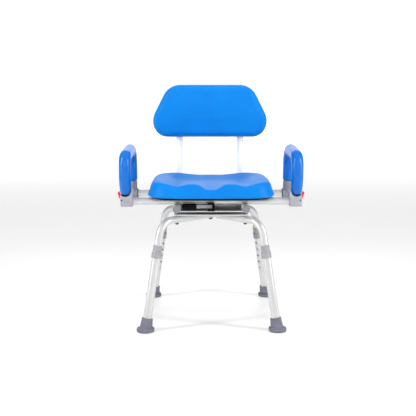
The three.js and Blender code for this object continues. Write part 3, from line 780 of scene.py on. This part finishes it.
PLATE_CORNER = 0.012
RACE_BORE, RACE_EDGE = 0.092, 0.108
GROOVE_EDGE, GROOVE_REACH = 0.0973, 0.0027
BALL_CIRCLE, BALL, BALL_COUNT = 0.1, 0.0016, 48


def swivel_plate(name):
    low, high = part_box(name)
    outline = filleted(rectangle(low, high), PLATE_CORNER, 8, closed=True)
    return prism(name, outline, "z", low.z, high.z, 0.0009)


def race(name, lip):
    """A pressed ring with a rolled groove for the balls, open towards lip (+1 up, -1 down)."""
    low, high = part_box(name)
    flat, top = (low.z, high.z) if lip > 0 else (high.z, low.z)
    turns = [math.pi * i / 8 for i in range(8, -1, -1)]
    depth = (top - flat) * 0.7
    profile = [(RACE_BORE, flat), (RACE_EDGE, flat), (RACE_EDGE, top)]
    profile += [(GROOVE_EDGE + GROOVE_REACH * (1 - math.cos(t)), top - depth * math.sin(t)) for t in turns]
    profile += [(RACE_BORE, top)]
    return lathe(name, filleted(profile, 0.0004, 2, closed=True), sides=96, looped=True)


def ball_ring(name):
    bm = bmesh.new()
    height = (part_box("swivel_race_lower")[1].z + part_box("swivel_race_upper")[0].z) / 2
    for place in circle(Z * height, X, Y, BALL_CIRCLE, BALL_COUNT):
        bmesh.ops.create_icosphere(bm, subdivisions=2, radius=BALL, matrix=Matrix.Translation(place))
    return new_piece(name, bm)


def hex_nut(name, centre, low, high, across_flats, turn):
    """A hexagon with its corners turned down at both faces."""
    reach = across_flats / 2 / math.cos(math.pi / 6)
    angles = [turn + math.pi * i / 3 for i in range(6)]
    outline = [(centre[0] + reach * math.cos(a), centre[1] + reach * math.sin(a)) for a in angles]
    nut = prism(name, outline, "z", low, high, 0.0002, 1)
    face = across_flats / 2 * 1.02
    rise = across_flats * 0.09
    profile = [
        (0, low - 0.0001), (face, low - 0.0001), (face + rise, low + rise * 0.5),
        (face + rise, high - rise * 0.5), (face, high + 0.0001), (0, high + 0.0001),
    ]
    turned = lathe("turned", profile, (*centre, 0), Z, 48)
    return smooth(combined(nut, "INTERSECT", [turned]))


def acorn_bolt(name, centre, across_flats, dome_depth, top, head):
    """A bolt through tube and plate: a washer and an acorn nut below, and a low round head above."""
    below, above = Vector((*centre, TUBE_UNDERSIDE)), Vector((*centre, top))
    nut = hex_nut(name, centre, below.z - 0.0042, below.z - 0.0010, across_flats, 0.3)
    cap = across_flats * 0.42
    acorn = [(0, -0.003), (cap, -0.003)] + dome(cap, -0.0040, 0.0040 - dome_depth, range(0, 91, 15))
    crown = filleted([(0, 0), (head, 0), (head, 0.0008), (head * 0.8, 0.0022), (0, 0.0028)], 0.0004, 3)
    parts = [
        washer("washer", across_flats * 0.62, -0.0010, 0, below),
        lathe("acorn", acorn, below, Z, 32),
        rod("shank", below - Z * 0.002, above + Z * 0.001, across_flats * 0.27),
        lathe("crown", crown, above),
    ]
    for part in parts:
        absorb(nut, part)
    return nut


for plate, body in (("lower_swivel_plate", "base"), ("upper_swivel_plate", "seat")):
    fitted(swivel_plate(plate), PLATE, body, plate)
fitted(race("swivel_race_lower", 1), BLACK_METAL, "base", "swivel_race_lower")
fitted(race("swivel_race_upper", -1), BLACK_METAL, "seat", "swivel_race_upper")
fitted(ball_ring("swivel_balls"), STEEL, "base")

TUBE_UNDERSIDE = RUN_HEIGHT - FRAME_TUBE
LOWER_PLATE_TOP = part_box("lower_swivel_plate")[1].z
UPPER_PLATE_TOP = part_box("upper_swivel_plate")[1].z


def corner_bolt(name):
    spot = middle(name)
    bolt = acorn_bolt(name, (spot.x, spot.y), 0.0105, 0.0054, LOWER_PLATE_TOP, 0.006)
    fitted(bolt, STEEL, "base", name)


def king_bolt():
    """The centre bolt that holds the two plates together, with a hexagon nut on the upper one."""
    top = UPPER_PLATE_TOP
    king = acorn_bolt("king_bolt", (0, 0), 0.0125, 0.0066, top + 0.0062, 0.0045)
    absorb(king, hex_nut("king_nut", (0, 0), top + 0.0012, top + 0.0066, 0.0140, 0.2))
    absorb(king, washer("king_washer", 0.0095, 0, 0.0012, (0, 0, top), Z, 48))
    fitted(king, STEEL, "base", "king_bolt")


for name in CORNERS:
    corner_bolt("corner_bolt_" + name)
king_bolt()


# ---------------- swivel lock

PIVOT = Vector(JOINTS["lock_lever_swing"]["pos_m"])
LEVER_LOW, LEVER_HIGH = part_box("swivel_lock_lever")
BAR_LOW, BAR_HIGH = PIVOT.z - 0.0063, PIVOT.z + 0.0062
BAR_FRONT, BAR_BACK, BAR_END = -0.1375, -0.1310, 0.0035
GRIP_END = LEVER_LOW.x + 0.054
GRIP_HALF_DEPTH, GRIP_HALF_HEIGHT = 0.0056, 0.0122
GRIP_SQUARENESS = 0.75
GRIP_WAIST, GRIP_WAVES = 0.04, 4
HOUSING_STEP, TAIL_TOP = -0.123, 0.4105
LOCK_PIN, LOCK_PIN_Y = 0.0035, -0.114


def lock_housing():
    """A block that the lever comes out of through a slot, with a lower tail behind it."""
    low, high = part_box("swivel_lock_housing")
    housing = block("swivel_lock_housing", low, (high.x, HOUSING_STEP, high.z), 0.0018, 4)
    tail_low = (low.x + 0.001, HOUSING_STEP - 0.002, low.z)
    housing = fused(housing, block("tail", tail_low, (high.x - 0.001, high.y, TAIL_TOP), 0.0015))
    slot_low = (low.x - 0.02, low.y - 0.005, BAR_LOW - 0.001)
    slot_high = (BAR_END + 0.004, HOUSING_STEP - 0.002, BAR_HIGH + 0.001)
    return carved(housing, block("slot", slot_low, slot_high, 0.0008))


def lock_lever():
    bar = block(
        "swivel_lock_lever", (GRIP_END - 0.006, BAR_FRONT, BAR_LOW), (BAR_END, BAR_BACK, BAR_HIGH), 0.0014, 4
    )
    ends = [Vector((0, PIVOT.y, z)) for z in (BAR_LOW - 0.002, BAR_HIGH + 0.002)]
    return absorb(bar, rod("hub", *ends, 0.0032))


def lock_grip():
    """A squarish black grip on the lever, with shallow waists for the fingers."""
    stations = 13
    rings = []
    for i in range(stations):
        t = i / (stations - 1)
        end = min(1.0, math.sqrt(max(0.0, 1 - (2 * t - 1) ** 8)) + 0.04)
        waist = 1 - GRIP_WAIST * math.cos(2 * math.pi * GRIP_WAVES * t)
        x = mix(LEVER_LOW.x + 0.0008, GRIP_END, t)
        centre = Vector((x, PIVOT.y - 0.0006, (LEVER_LOW.z + LEVER_HIGH.z) / 2))
        ring = []
        for point in circle(Vector(), Y, Z, 1.0, 36):
            y, z = (math.copysign(abs(value) ** GRIP_SQUARENESS, value) for value in (point.y, point.z))
            ring.append(centre + Vector((0, y * GRIP_HALF_DEPTH * end, z * GRIP_HALF_HEIGHT * end * waist)))
        rings.append(ring)
    return loft("lock_grip", rings)


def lock_pin():
    ends = [Vector((0, LOCK_PIN_Y, corner.z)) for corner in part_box("swivel_lock_pin")]
    return rod("swivel_lock_pin", *ends, LOCK_PIN, 0.0008)


fitted(lock_housing(), BLACK_PLASTIC, "seat", "swivel_lock_housing")
fitted(lock_lever(), FITTING_GREY, "lock_lever", "swivel_lock_lever")
fitted(lock_grip(), BLACK_PLASTIC, "lock_lever")
fitted(lock_pin(), STEEL, "lock_pin", "swivel_lock_pin")


# ---------------- seat frame

SCREW_HEIGHTS = (0.684, 0.744)
PLATE_SCREWS = (-0.075, 0.075)
SADDLE_CLEARANCE = 0.0002


def cross_tube(name):
    low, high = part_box(name)
    centre = middle(name)
    ends = [Vector((x, centre.y, centre.z)) for x in (low.x, high.x)]
    fitted(tube(name, dense(ends, 0.05), FRAME_TUBE, FRAME_BORE), ALUMINIUM, "seat", name)
    return centre


FRONT_CROSS, REAR_CROSS = cross_tube("front_cross_tube"), cross_tube("rear_cross_tube")


def truss_screw(name, place, axis, radius=0.0055, height=0.0028):
    """A low domed screw head with a hexagon socket."""
    rim = 0.0006
    profile = [(0, 0), (radius, 0), (radius, rim), *dome(radius, rim, height - rim, range(12, 85, 12))]
    head = lathe(name, profile + [(0, height)], place, axis, 32)
    u, v = across(axis)
    rings = [circle(place + axis * h, u, v, radius * 0.42, 6) for h in (height * 0.4, height + 0.002)]
    return carved(head, loft("socket", rings))


def rail(name):
    """A side rail that bends up into a back post, with the plugs and screws in it."""
    node = "side_rail_" + name
    low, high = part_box(node)
    x, height = (low.x + high.x) / 2, low.z + FRAME_TUBE
    back, top = high.y - FRAME_TUBE, high.z
    corners = [Vector((x, low.y, height)), Vector((x, back, height)), Vector((x, back, top))]
    route = dense(filleted(corners, POST_BEND, 18), 0.004)
    obj = tube(node, route, FRAME_TUBE, FRAME_BORE)

    def saddle(point):
        """The rail's top is pressed in where a cross tube lies in it."""
        for cross in (FRONT_CROSS, REAR_CROSS):
            sideways = point.y - cross.y
            reach = FRAME_TUBE + SADDLE_CLEARANCE
            if abs(sideways) < reach and point.z > height - 0.002:
                floor = cross.z - math.sqrt(reach**2 - sideways**2)
                point.z = min(point.z, max(floor, height - 0.002))
        return point

    # the rail and its post take the near-white aluminium, whose colour is painted light
    fitted(shaped(obj, saddle), PAINTED_LIGHT_ALUMINIUM, "seat", node)

    cap_node = "rail_cap_" + name
    cap_profile = [
        (0, 0.0016), (0.0085, 0.0016), (0.0092, 0.0006), (0.0100, 0), (0.0116, 0), (0.0131, 0.0010),
        (0.0135, 0.0026), (0.0135, 0.0048), (0.0131, 0.0053), (0.0105, 0.0053), (0.0105, 0.02), (0, 0.02),
    ]
    cap = lathe(cap_node, cap_profile, (x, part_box(cap_node)[0].y, height), Y, 48)
    fitted(cap, DARK_GREY_AND_PAINTED_SHADE, "seat", cap_node)
    plug_profile = [
        (0, -0.012), (0.0108, -0.012), (0.0108, 0.0002), (0.0126, 0.0002),
        (0.0126, 0.0018), (0.0105, 0.0034), (0, 0.0040),
    ]
    plug = lathe("post_plug_" + name, filleted(plug_profile, 0.0006, 3), (x, back, top))
    fitted(plug, BLACK_PLASTIC, "seat")

    for number, screw_height in enumerate(SCREW_HEIGHTS):
        place = Vector((x, back + FRAME_TUBE, screw_height))
        screw = washer(f"back_screw_{name}_{number}", 0.008, -0.0004, 0.0008, place, Y, 32)
        absorb(screw, truss_screw("head", place + Y * 0.0006, Y))
        fitted(screw, STEEL, "seat")
    for number, along in enumerate(PLATE_SCREWS):
        place = Vector((x, along, height + FRAME_TUBE - 0.0004))
        fitted(truss_screw(f"plate_screw_{name}_{number}", place, Z), STEEL, "seat")


for name in SIDES:
    rail(name)


# ---------------- seat pan and cushion

SEAT_LOW, SEAT_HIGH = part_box("seat_cushion")
SEAT_MIDDLE = (SEAT_LOW + SEAT_HIGH) / 2
SEAT_HALF = (SEAT_HIGH - SEAT_LOW) / 2
SEAT_BOTTOM = SEAT_LOW.z + 0.0002
SEAT_EDGE, WALL_LEAN = 0.0200, 0.0065
EDGE_TURN = math.radians(81)
PLAN_POWER = 5.0
HOLLOW_HEIGHT = 0.471
FRONT_SPAN = (-0.04, 0.19)
RIDGE, RIDGE_RISE, RIDGE_FALL, RIDGE_LOSS = 0.019, (0.010, 0.052), (0.072, 0.125), 0.6
VALLEY = 0.004
SIDE, SIDE_RISE, SIDE_LOSS = 0.022, (0.095, 0.19), 0.25
BACK, BACK_SIDE, BACK_SIDE_RISE, BACK_SPAN = 0.013, 0.0095, (0.03, 0.15), (0.06, 0.18)


def plan(angle, inset, half=SEAT_HALF, centre=SEAT_MIDDLE):
    """A point of the rounded square outline, moved in by inset."""
    c, s = math.cos(angle), math.sin(angle)
    reach = (abs(c) ** PLAN_POWER + abs(s) ** PLAN_POWER) ** (-1 / PLAN_POWER)
    return centre.x + c * reach * (half.x - inset), centre.y + s * reach * (half.y - inset)


def plan_angles(count):
    return [2 * math.pi * (i + 0.5) / count for i in range(count)]


def seat_top(x, y):
    """A hollow centre, raised sides and back, and two thigh ridges beside a narrow front valley."""
    out = abs(x)
    frontness = step(-y, *FRONT_SPAN)
    ridge = RIDGE * step(out, *RIDGE_RISE) * (1 - RIDGE_LOSS * step(out, *RIDGE_FALL))
    sides = SIDE * step(out, *SIDE_RISE) * (1 - SIDE_LOSS * frontness)
    back = BACK + BACK_SIDE * step(out, *BACK_SIDE_RISE)
    return HOLLOW_HEIGHT + frontness * (ridge - VALLEY) + mix(sides, back, step(y, *BACK_SPAN))


def seat_cushion():
    """Rings from the middle of the top, over the round edge, down the leaning wall to the lower edge."""
    angles = plan_angles(240)

    def ring(inset, height=seat_top):
        return [Vector((x, y, height(x, y))) for x, y in (plan(angle, inset) for angle in angles)]

    def lowered(inset, heights):
        """A ring whose points take new heights."""
        return [Vector((point.x, point.y, z)) for point, z in zip(ring(inset), heights)]

    rings = []
    for k in range(26):
        inset = mix(SEAT_HALF.x, WALL_LEAN + SEAT_EDGE, (k / 25) ** 0.8)
        rings.append(ring(min(inset, SEAT_HALF.y - 0.0005)))
    crest = [point.z for point in rings[-1]]
    for k in range(1, 9):
        turn = EDGE_TURN * k / 8
        wall_inset = WALL_LEAN + SEAT_EDGE * (1 - math.sin(turn))
        rings.append(lowered(wall_inset, [z - SEAT_EDGE * (1 - math.cos(turn)) for z in crest]))
    wall_top = [point.z for point in rings[-1]]
    for k in range(1, 9):
        t = k / 8
        inset = mix(wall_inset, 0.0002, 1 - (1 - t) ** 1.5)
        rings.append(lowered(inset, [mix(z, SEAT_BOTTOM + 0.002, t) for z in wall_top]))
    for inset in (0.0008, 0.02, 0.06, 0.12, 0.19):
        rings.append(ring(inset, lambda x, y: SEAT_BOTTOM))
    cushion = loft("seat_cushion", rings)
    cushion = swollen(cushion, 0.005, lambda p: 0.004 * step(p.z, SEAT_LOW.z + 0.004, SEAT_LOW.z + 0.024))
    return subdivided(cushion)


def seat_pan():
    """A thin tray with a rolled rim under the cushion."""
    low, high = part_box("seat_pan")
    half, centre = (high - low) / 2, middle("seat_pan")
    profile = [
        (half.y, low.z + 0.001), (0.012, low.z + 0.001), (0.008, low.z), (0.002, low.z),
        (0.0004, low.z + 0.001), (0.0, low.z + 0.0026), (0.0006, high.z - 0.0004), (0.002, high.z),
        (half.y, high.z),
    ]
    rings = []
    for inset, height in profile:
        inset = min(inset, half.y - 0.001)
        outline = (plan(angle, inset, half, centre) for angle in plan_angles(200))
        rings.append([Vector((x, y, height)) for x, y in outline])
    return loft("seat_pan", rings)


fitted(seat_pan(), BLACK_PLASTIC, "seat", "seat_pan")
cushion = seat_cushion()
fitted(cushion, FOAM, "seat", "seat_cushion")


# ---------------- back cushion and shell

BACK_LOW, BACK_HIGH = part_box("back_cushion")
BACK_CORNERS = [
    # out, height, radius
    (0.1927, BACK_LOW.z, 0.0528),
    (0.2227, 0.6868, 0.0634),
    (0.1542, BACK_HIGH.z, 0.0700),
]
BACK_CROWN = 0.002
BACK_EDGE = (0.013, 0.015)
SHELL_INSET = 0.0145


def back_outline(inset):
    """The back's outline in X and Z, moved in by inset. The arcs keep their centres."""
    right = [Vector((out, height)) for out, height, _ in BACK_CORNERS]
    corners = right + [Vector((-p.x, p.y)) for p in reversed(right)]
    moved = []
    for i, corner in enumerate(corners):
        before = (corners[i - 1] - corner).normalized()
        after = (corners[(i + 1) % len(corners)] - corner).normalized()
        half = before.angle(after) / 2
        moved.append(corner + (before + after).normalized() * inset / math.sin(half))
    radii = [max(0.004, radius - inset) for _, _, radius in BACK_CORNERS]
    return filleted(moved, radii + radii[::-1], 14, closed=True)


def even_ring(outline, count):
    """The same closed outline with its points evenly spaced, starting from the middle of the bottom."""
    start = Vector((0, outline[0].y))
    line = [start] + outline + [start]
    lengths = [0.0]
    for a, b in zip(line, line[1:]):
        lengths.append(lengths[-1] + (b - a).length)
    ring, i = [], 0
    for k in range(count):
        want = lengths[-1] * k / count
        while lengths[i + 1] < want:
            i += 1
        share = (want - lengths[i]) / (lengths[i + 1] - lengths[i])
        ring.append(line[i].lerp(line[i + 1], share))
    return ring


def back_cushion():
    """A crowned face with a rounded edge, and a shallow rim line where the mould parts."""
    front, back = BACK_LOW.y + 0.0005, BACK_HIGH.y
    thick = back - front
    face_insets = (0.090, 0.085, 0.075, 0.062, 0.05, 0.04, 0.03, 0.022, 0.018)
    profile = [(inset, BACK_CROWN * step(inset, 0.09, 0.014)) for inset in face_insets]
    for k in range(10):
        turn = math.pi / 2 * k / 9
        inset = 0.0002 + BACK_EDGE[0] * (1 - math.sin(turn))
        profile.append((inset, BACK_CROWN + BACK_EDGE[1] * (1 - math.cos(turn))))
    rim_line = [
        (-0.0002, 0.012), (0.0, 0.0095), (0.0014, 0.0085), (0.0014, 0.0070), (0.0, 0.0062),
        (-0.0002, 0.004), (0.0010, 0.0015), (0.0040, 0), (0.03, 0), (0.088, 0),
    ]
    profile += [(inset, thick - from_back) for inset, from_back in rim_line]
    rings = []
    for inset, depth in profile:
        ring = even_ring(back_outline(inset), 220)
        rings.append([Vector((p.x, front + depth, p.y)) for p in ring])
    cushion = loft("back_cushion", rings)
    cushion = swollen(cushion, 0.0045, lambda p: 0.0035 * (1 - step(p.y, front + 0.012, back - 0.012)))
    return subdivided(cushion)


def back_shell():
    low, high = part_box("back_shell")
    return prism("back_shell", even_ring(back_outline(SHELL_INSET), 160), "y", low.y, high.y, 0.0012)


fitted(back_shell(), BLACK_PLASTIC, "seat", "back_shell")
cushion = back_cushion()
fitted(cushion, FOAM, "seat", "back_cushion")


# ---------------- arm catches and latches

ARM_PLANE = abs(JOINTS["arm_flip_left"]["pos_m"][0])
CRADLE_CENTRE, CRADLE_RADIUS = 0.4602, 0.0202
CATCH_OUTER_TOP = 0.447
LATCH_SLOT = ((0.2975, -0.1155, 0.4215), (0.32, -0.1005, 0.48))
LATCH_FRONT, LATCH_BACK = -0.1144, -0.1016


def arm_catch():
    """The right side's catch: a block on the cross tube's end, with a cradle for the arm's plug."""
    low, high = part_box("arm_catch_right")
    sweep = [math.pi + math.pi * i / 24 for i in range(25)]
    arc_points = [
        (ARM_PLANE + CRADLE_RADIUS * math.cos(a), CRADLE_CENTRE + CRADLE_RADIUS * math.sin(a)) for a in sweep
    ]
    cradle = [(x, z) for x, z in arc_points if x < ARM_PLANE or z < CATCH_OUTER_TOP]
    corners = [(low.x, high.z), (low.x, low.z), (high.x, low.z), (high.x, CATCH_OUTER_TOP)]
    outline = filleted(corners, 0.0035, 5) + cradle[::-1] + [(cradle[0][0], high.z)]
    body = prism("arm_catch_right", outline, "y", low.y, high.y, 0.0013)
    return carved(body, block("slot", *LATCH_SLOT, 0.0006, 2))


def latch_pin(name):
    """The headed pin that a latch lever turns on."""
    pivot = JOINTS["latch_" + name]["pos_m"]
    low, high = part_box("latch_pin_" + name)

    def at(y):
        return Vector((pivot[0], y, pivot[2]))

    pin = rod("latch_pin_" + name, at(low.y), at(high.y), 0.0018)
    return absorb(pin, rod("head", at(low.y - 0.0004), at(low.y + 0.0012), 0.0027))


def latch_lever(name, side):
    tab = [
        (0.3012, 0.4242), (0.3060, 0.4242), (0.3098, 0.4296), (0.3140, 0.4375), (0.3176, 0.4490),
        (0.3176, 0.4552), (0.3155, 0.4574), (0.3120, 0.4562), (0.3088, 0.4480), (0.3046, 0.4400),
        (0.2997, 0.4330),
    ]
    outline = filleted([(side * x, z) for x, z in tab], 0.0018, closed=True)
    return prism("latch_lever_" + name, outline, "y", LATCH_FRONT, LATCH_BACK)


both_sides("arm_catch", arm_catch(), FITTING_GREY, "seat")
for name, side in SIDES.items():
    fitted(latch_pin(name), STEEL, "seat", "latch_pin_" + name)
    fitted(latch_lever(name, side), RED, "latch_" + name, "latch_lever_" + name)


# ---------------- arms

SOCKET_TOP = 0.471
ARM_TOP_REAR, ARM_TOP_FRONT = 0.5905, 0.575
ARM_FRONT_Y, ARM_FRONT_LOW = -0.1275, 0.5045
ARM_END_Y, ARM_END_Z = -0.1102, 0.4495
ARM_RADII = [0, 0.050, 0.060, 0.080, 0]
ARM_REAR_RADIUS, ARM_FRONT_RADIUS = 0.0224, 0.0203
ARM_END_ROUNDING = [(0.0, 0.0148), (0.003, 0.0172), (0.008, 0.0187), (0.013, 0.0195), (0.030, 0.0203)]


def arm_route():
    x = ARM_PLANE
    corners = [
        (x, REAR_CROSS.y, SOCKET_TOP + 0.0003),
        (x, REAR_CROSS.y, ARM_TOP_REAR),
        (x, ARM_FRONT_Y, ARM_TOP_FRONT),
        (x, ARM_FRONT_Y, ARM_FRONT_LOW),
        (x, ARM_END_Y, ARM_END_Z),
    ]
    return dense(filleted(corners, ARM_RADII, 18), 0.005)


def arm_pad():
    """A foam grip, thinner towards the front and rounded off at its lower end."""
    route = arm_route()
    travelled = [0.0]
    for a, b in zip(route, route[1:]):
        travelled.append(travelled[-1] + (b - a).length)
    rings = []
    for (point, u, v), start in zip(route_frames(route), travelled):
        left = travelled[-1] - start
        radius = mix(ARM_REAR_RADIUS, ARM_FRONT_RADIUS, start / travelled[-1])
        for (a, inner), (b, outer) in zip(ARM_END_ROUNDING, ARM_END_ROUNDING[1:]):
            if a <= left < b:
                radius = min(radius, mix(inner, outer, (left - a) / (b - a)))
        rings.append(circle(point, u, v, radius - 0.0012 * (1 - step(start, 0, 0.003)), 48))
    pad = loft("arm_pad_right", rings)
    pad = swollen(pad, 0.004, lambda p: 0.0006 * step(p.z, SOCKET_TOP, SOCKET_TOP + 0.03))
    return subdivided(pad)


def arm_hinge():
    """A moulded T: a barrel that turns on the cross tube's end under a socket for the arm."""
    low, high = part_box("arm_hinge_right")
    y, z = REAR_CROSS.y, REAR_CROSS.z
    length = high.x - low.x - 0.0004
    barrel_profile = filleted([(0, 0), (0.0183, 0), (0.0183, length), (0, length)], 0.0022, 4)
    barrel = lathe("arm_hinge_right", barrel_profile, (low.x + 0.0002, y, z), X, 56)
    socket = rod("socket", (ARM_PLANE, y, z), (ARM_PLANE, y, SOCKET_TOP - 0.0002), 0.0208, 0.0014, 56)
    corners = [
        (low.x + 0.003, z + 0.010), (ARM_PLANE, z + 0.005),
        (ARM_PLANE, z + 0.036), (low.x + 0.0065, z + 0.024),
    ]
    gusset = prism("gusset", filleted(corners, 0.002, 3, closed=True), "y", y - 0.011, y + 0.011, 0.003)
    fitting = moulded(fused(barrel, socket, gusset), 0.0011, 6)
    bore = rod("bore", (low.x - 0.01, y, z), (high.x + 0.01, y, z), FRAME_TUBE + 0.0002, 0, 48)
    return smooth(carved(fitting, bore), 50)


def arm_plug():
    """The rounded end plug that rests in the catch's cradle."""
    before, end = arm_route()[-2:]
    profile = [
        (0, -0.0061), (0.0088, -0.0058), (0.0128, -0.0036), (0.0149, -0.0004),
        (0.0075, -0.0004), (0.0075, 0.018), (0, 0.018),
    ]
    return lathe("arm_plug_right", filleted(profile, 0.0008, 3), end, before - end, 48)


def hinge_cap():
    """The dished cap that closes the cross tube's end."""
    profile = [
        (0, 0.0010), (0.0040, 0.0008), (0.0050, 0.0001), (0.0085, 0.0000), (0.0120, 0.0005), (0.0138, 0.0013),
        (0.0144, 0.0024), (0.0144, 0.0028), (0.0102, 0.0030), (0.0102, 0.0160), (0, 0.0160),
    ]
    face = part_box("hinge_cap_right")[1].x
    return lathe("hinge_cap_right", profile, (face, REAR_CROSS.y, REAR_CROSS.z), -X, 48)


def hinge_bush(name, side):
    """A thin black ring between a hinge and the cross tube."""
    inner = Vector((side * (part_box("arm_hinge_right")[0].x + 0.0006), REAR_CROSS.y, REAR_CROSS.z))
    profile = filleted([(0.0128, 0), (0.0162, 0), (0.0162, 0.0018), (0.0128, 0.0018)], 0.0004, 2, closed=True)
    return lathe("hinge_bush_" + name, profile, inner, X * -side, 48, looped=True)


for pad in both_sides("arm_pad", arm_pad(), GRIP_FOAM, "arm_{}"):
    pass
# the hinges' darker grey is painted shade
both_sides("arm_hinge", arm_hinge(), DARK_GREY_AND_PAINTED_SHADE, "arm_{}")
both_sides("arm_plug", arm_plug(), BLACK_PLASTIC, "arm_{}")
both_sides("hinge_cap", hinge_cap(), BLACK_PLASTIC, "seat")
for name, side in SIDES.items():
    core = frame["nodes"]["arm_core_" + name]
    core.data.materials.clear()
    core.data.materials.append(ALUMINIUM.material)
    fitted(hinge_bush(name, side), BLACK_PLASTIC, "seat")
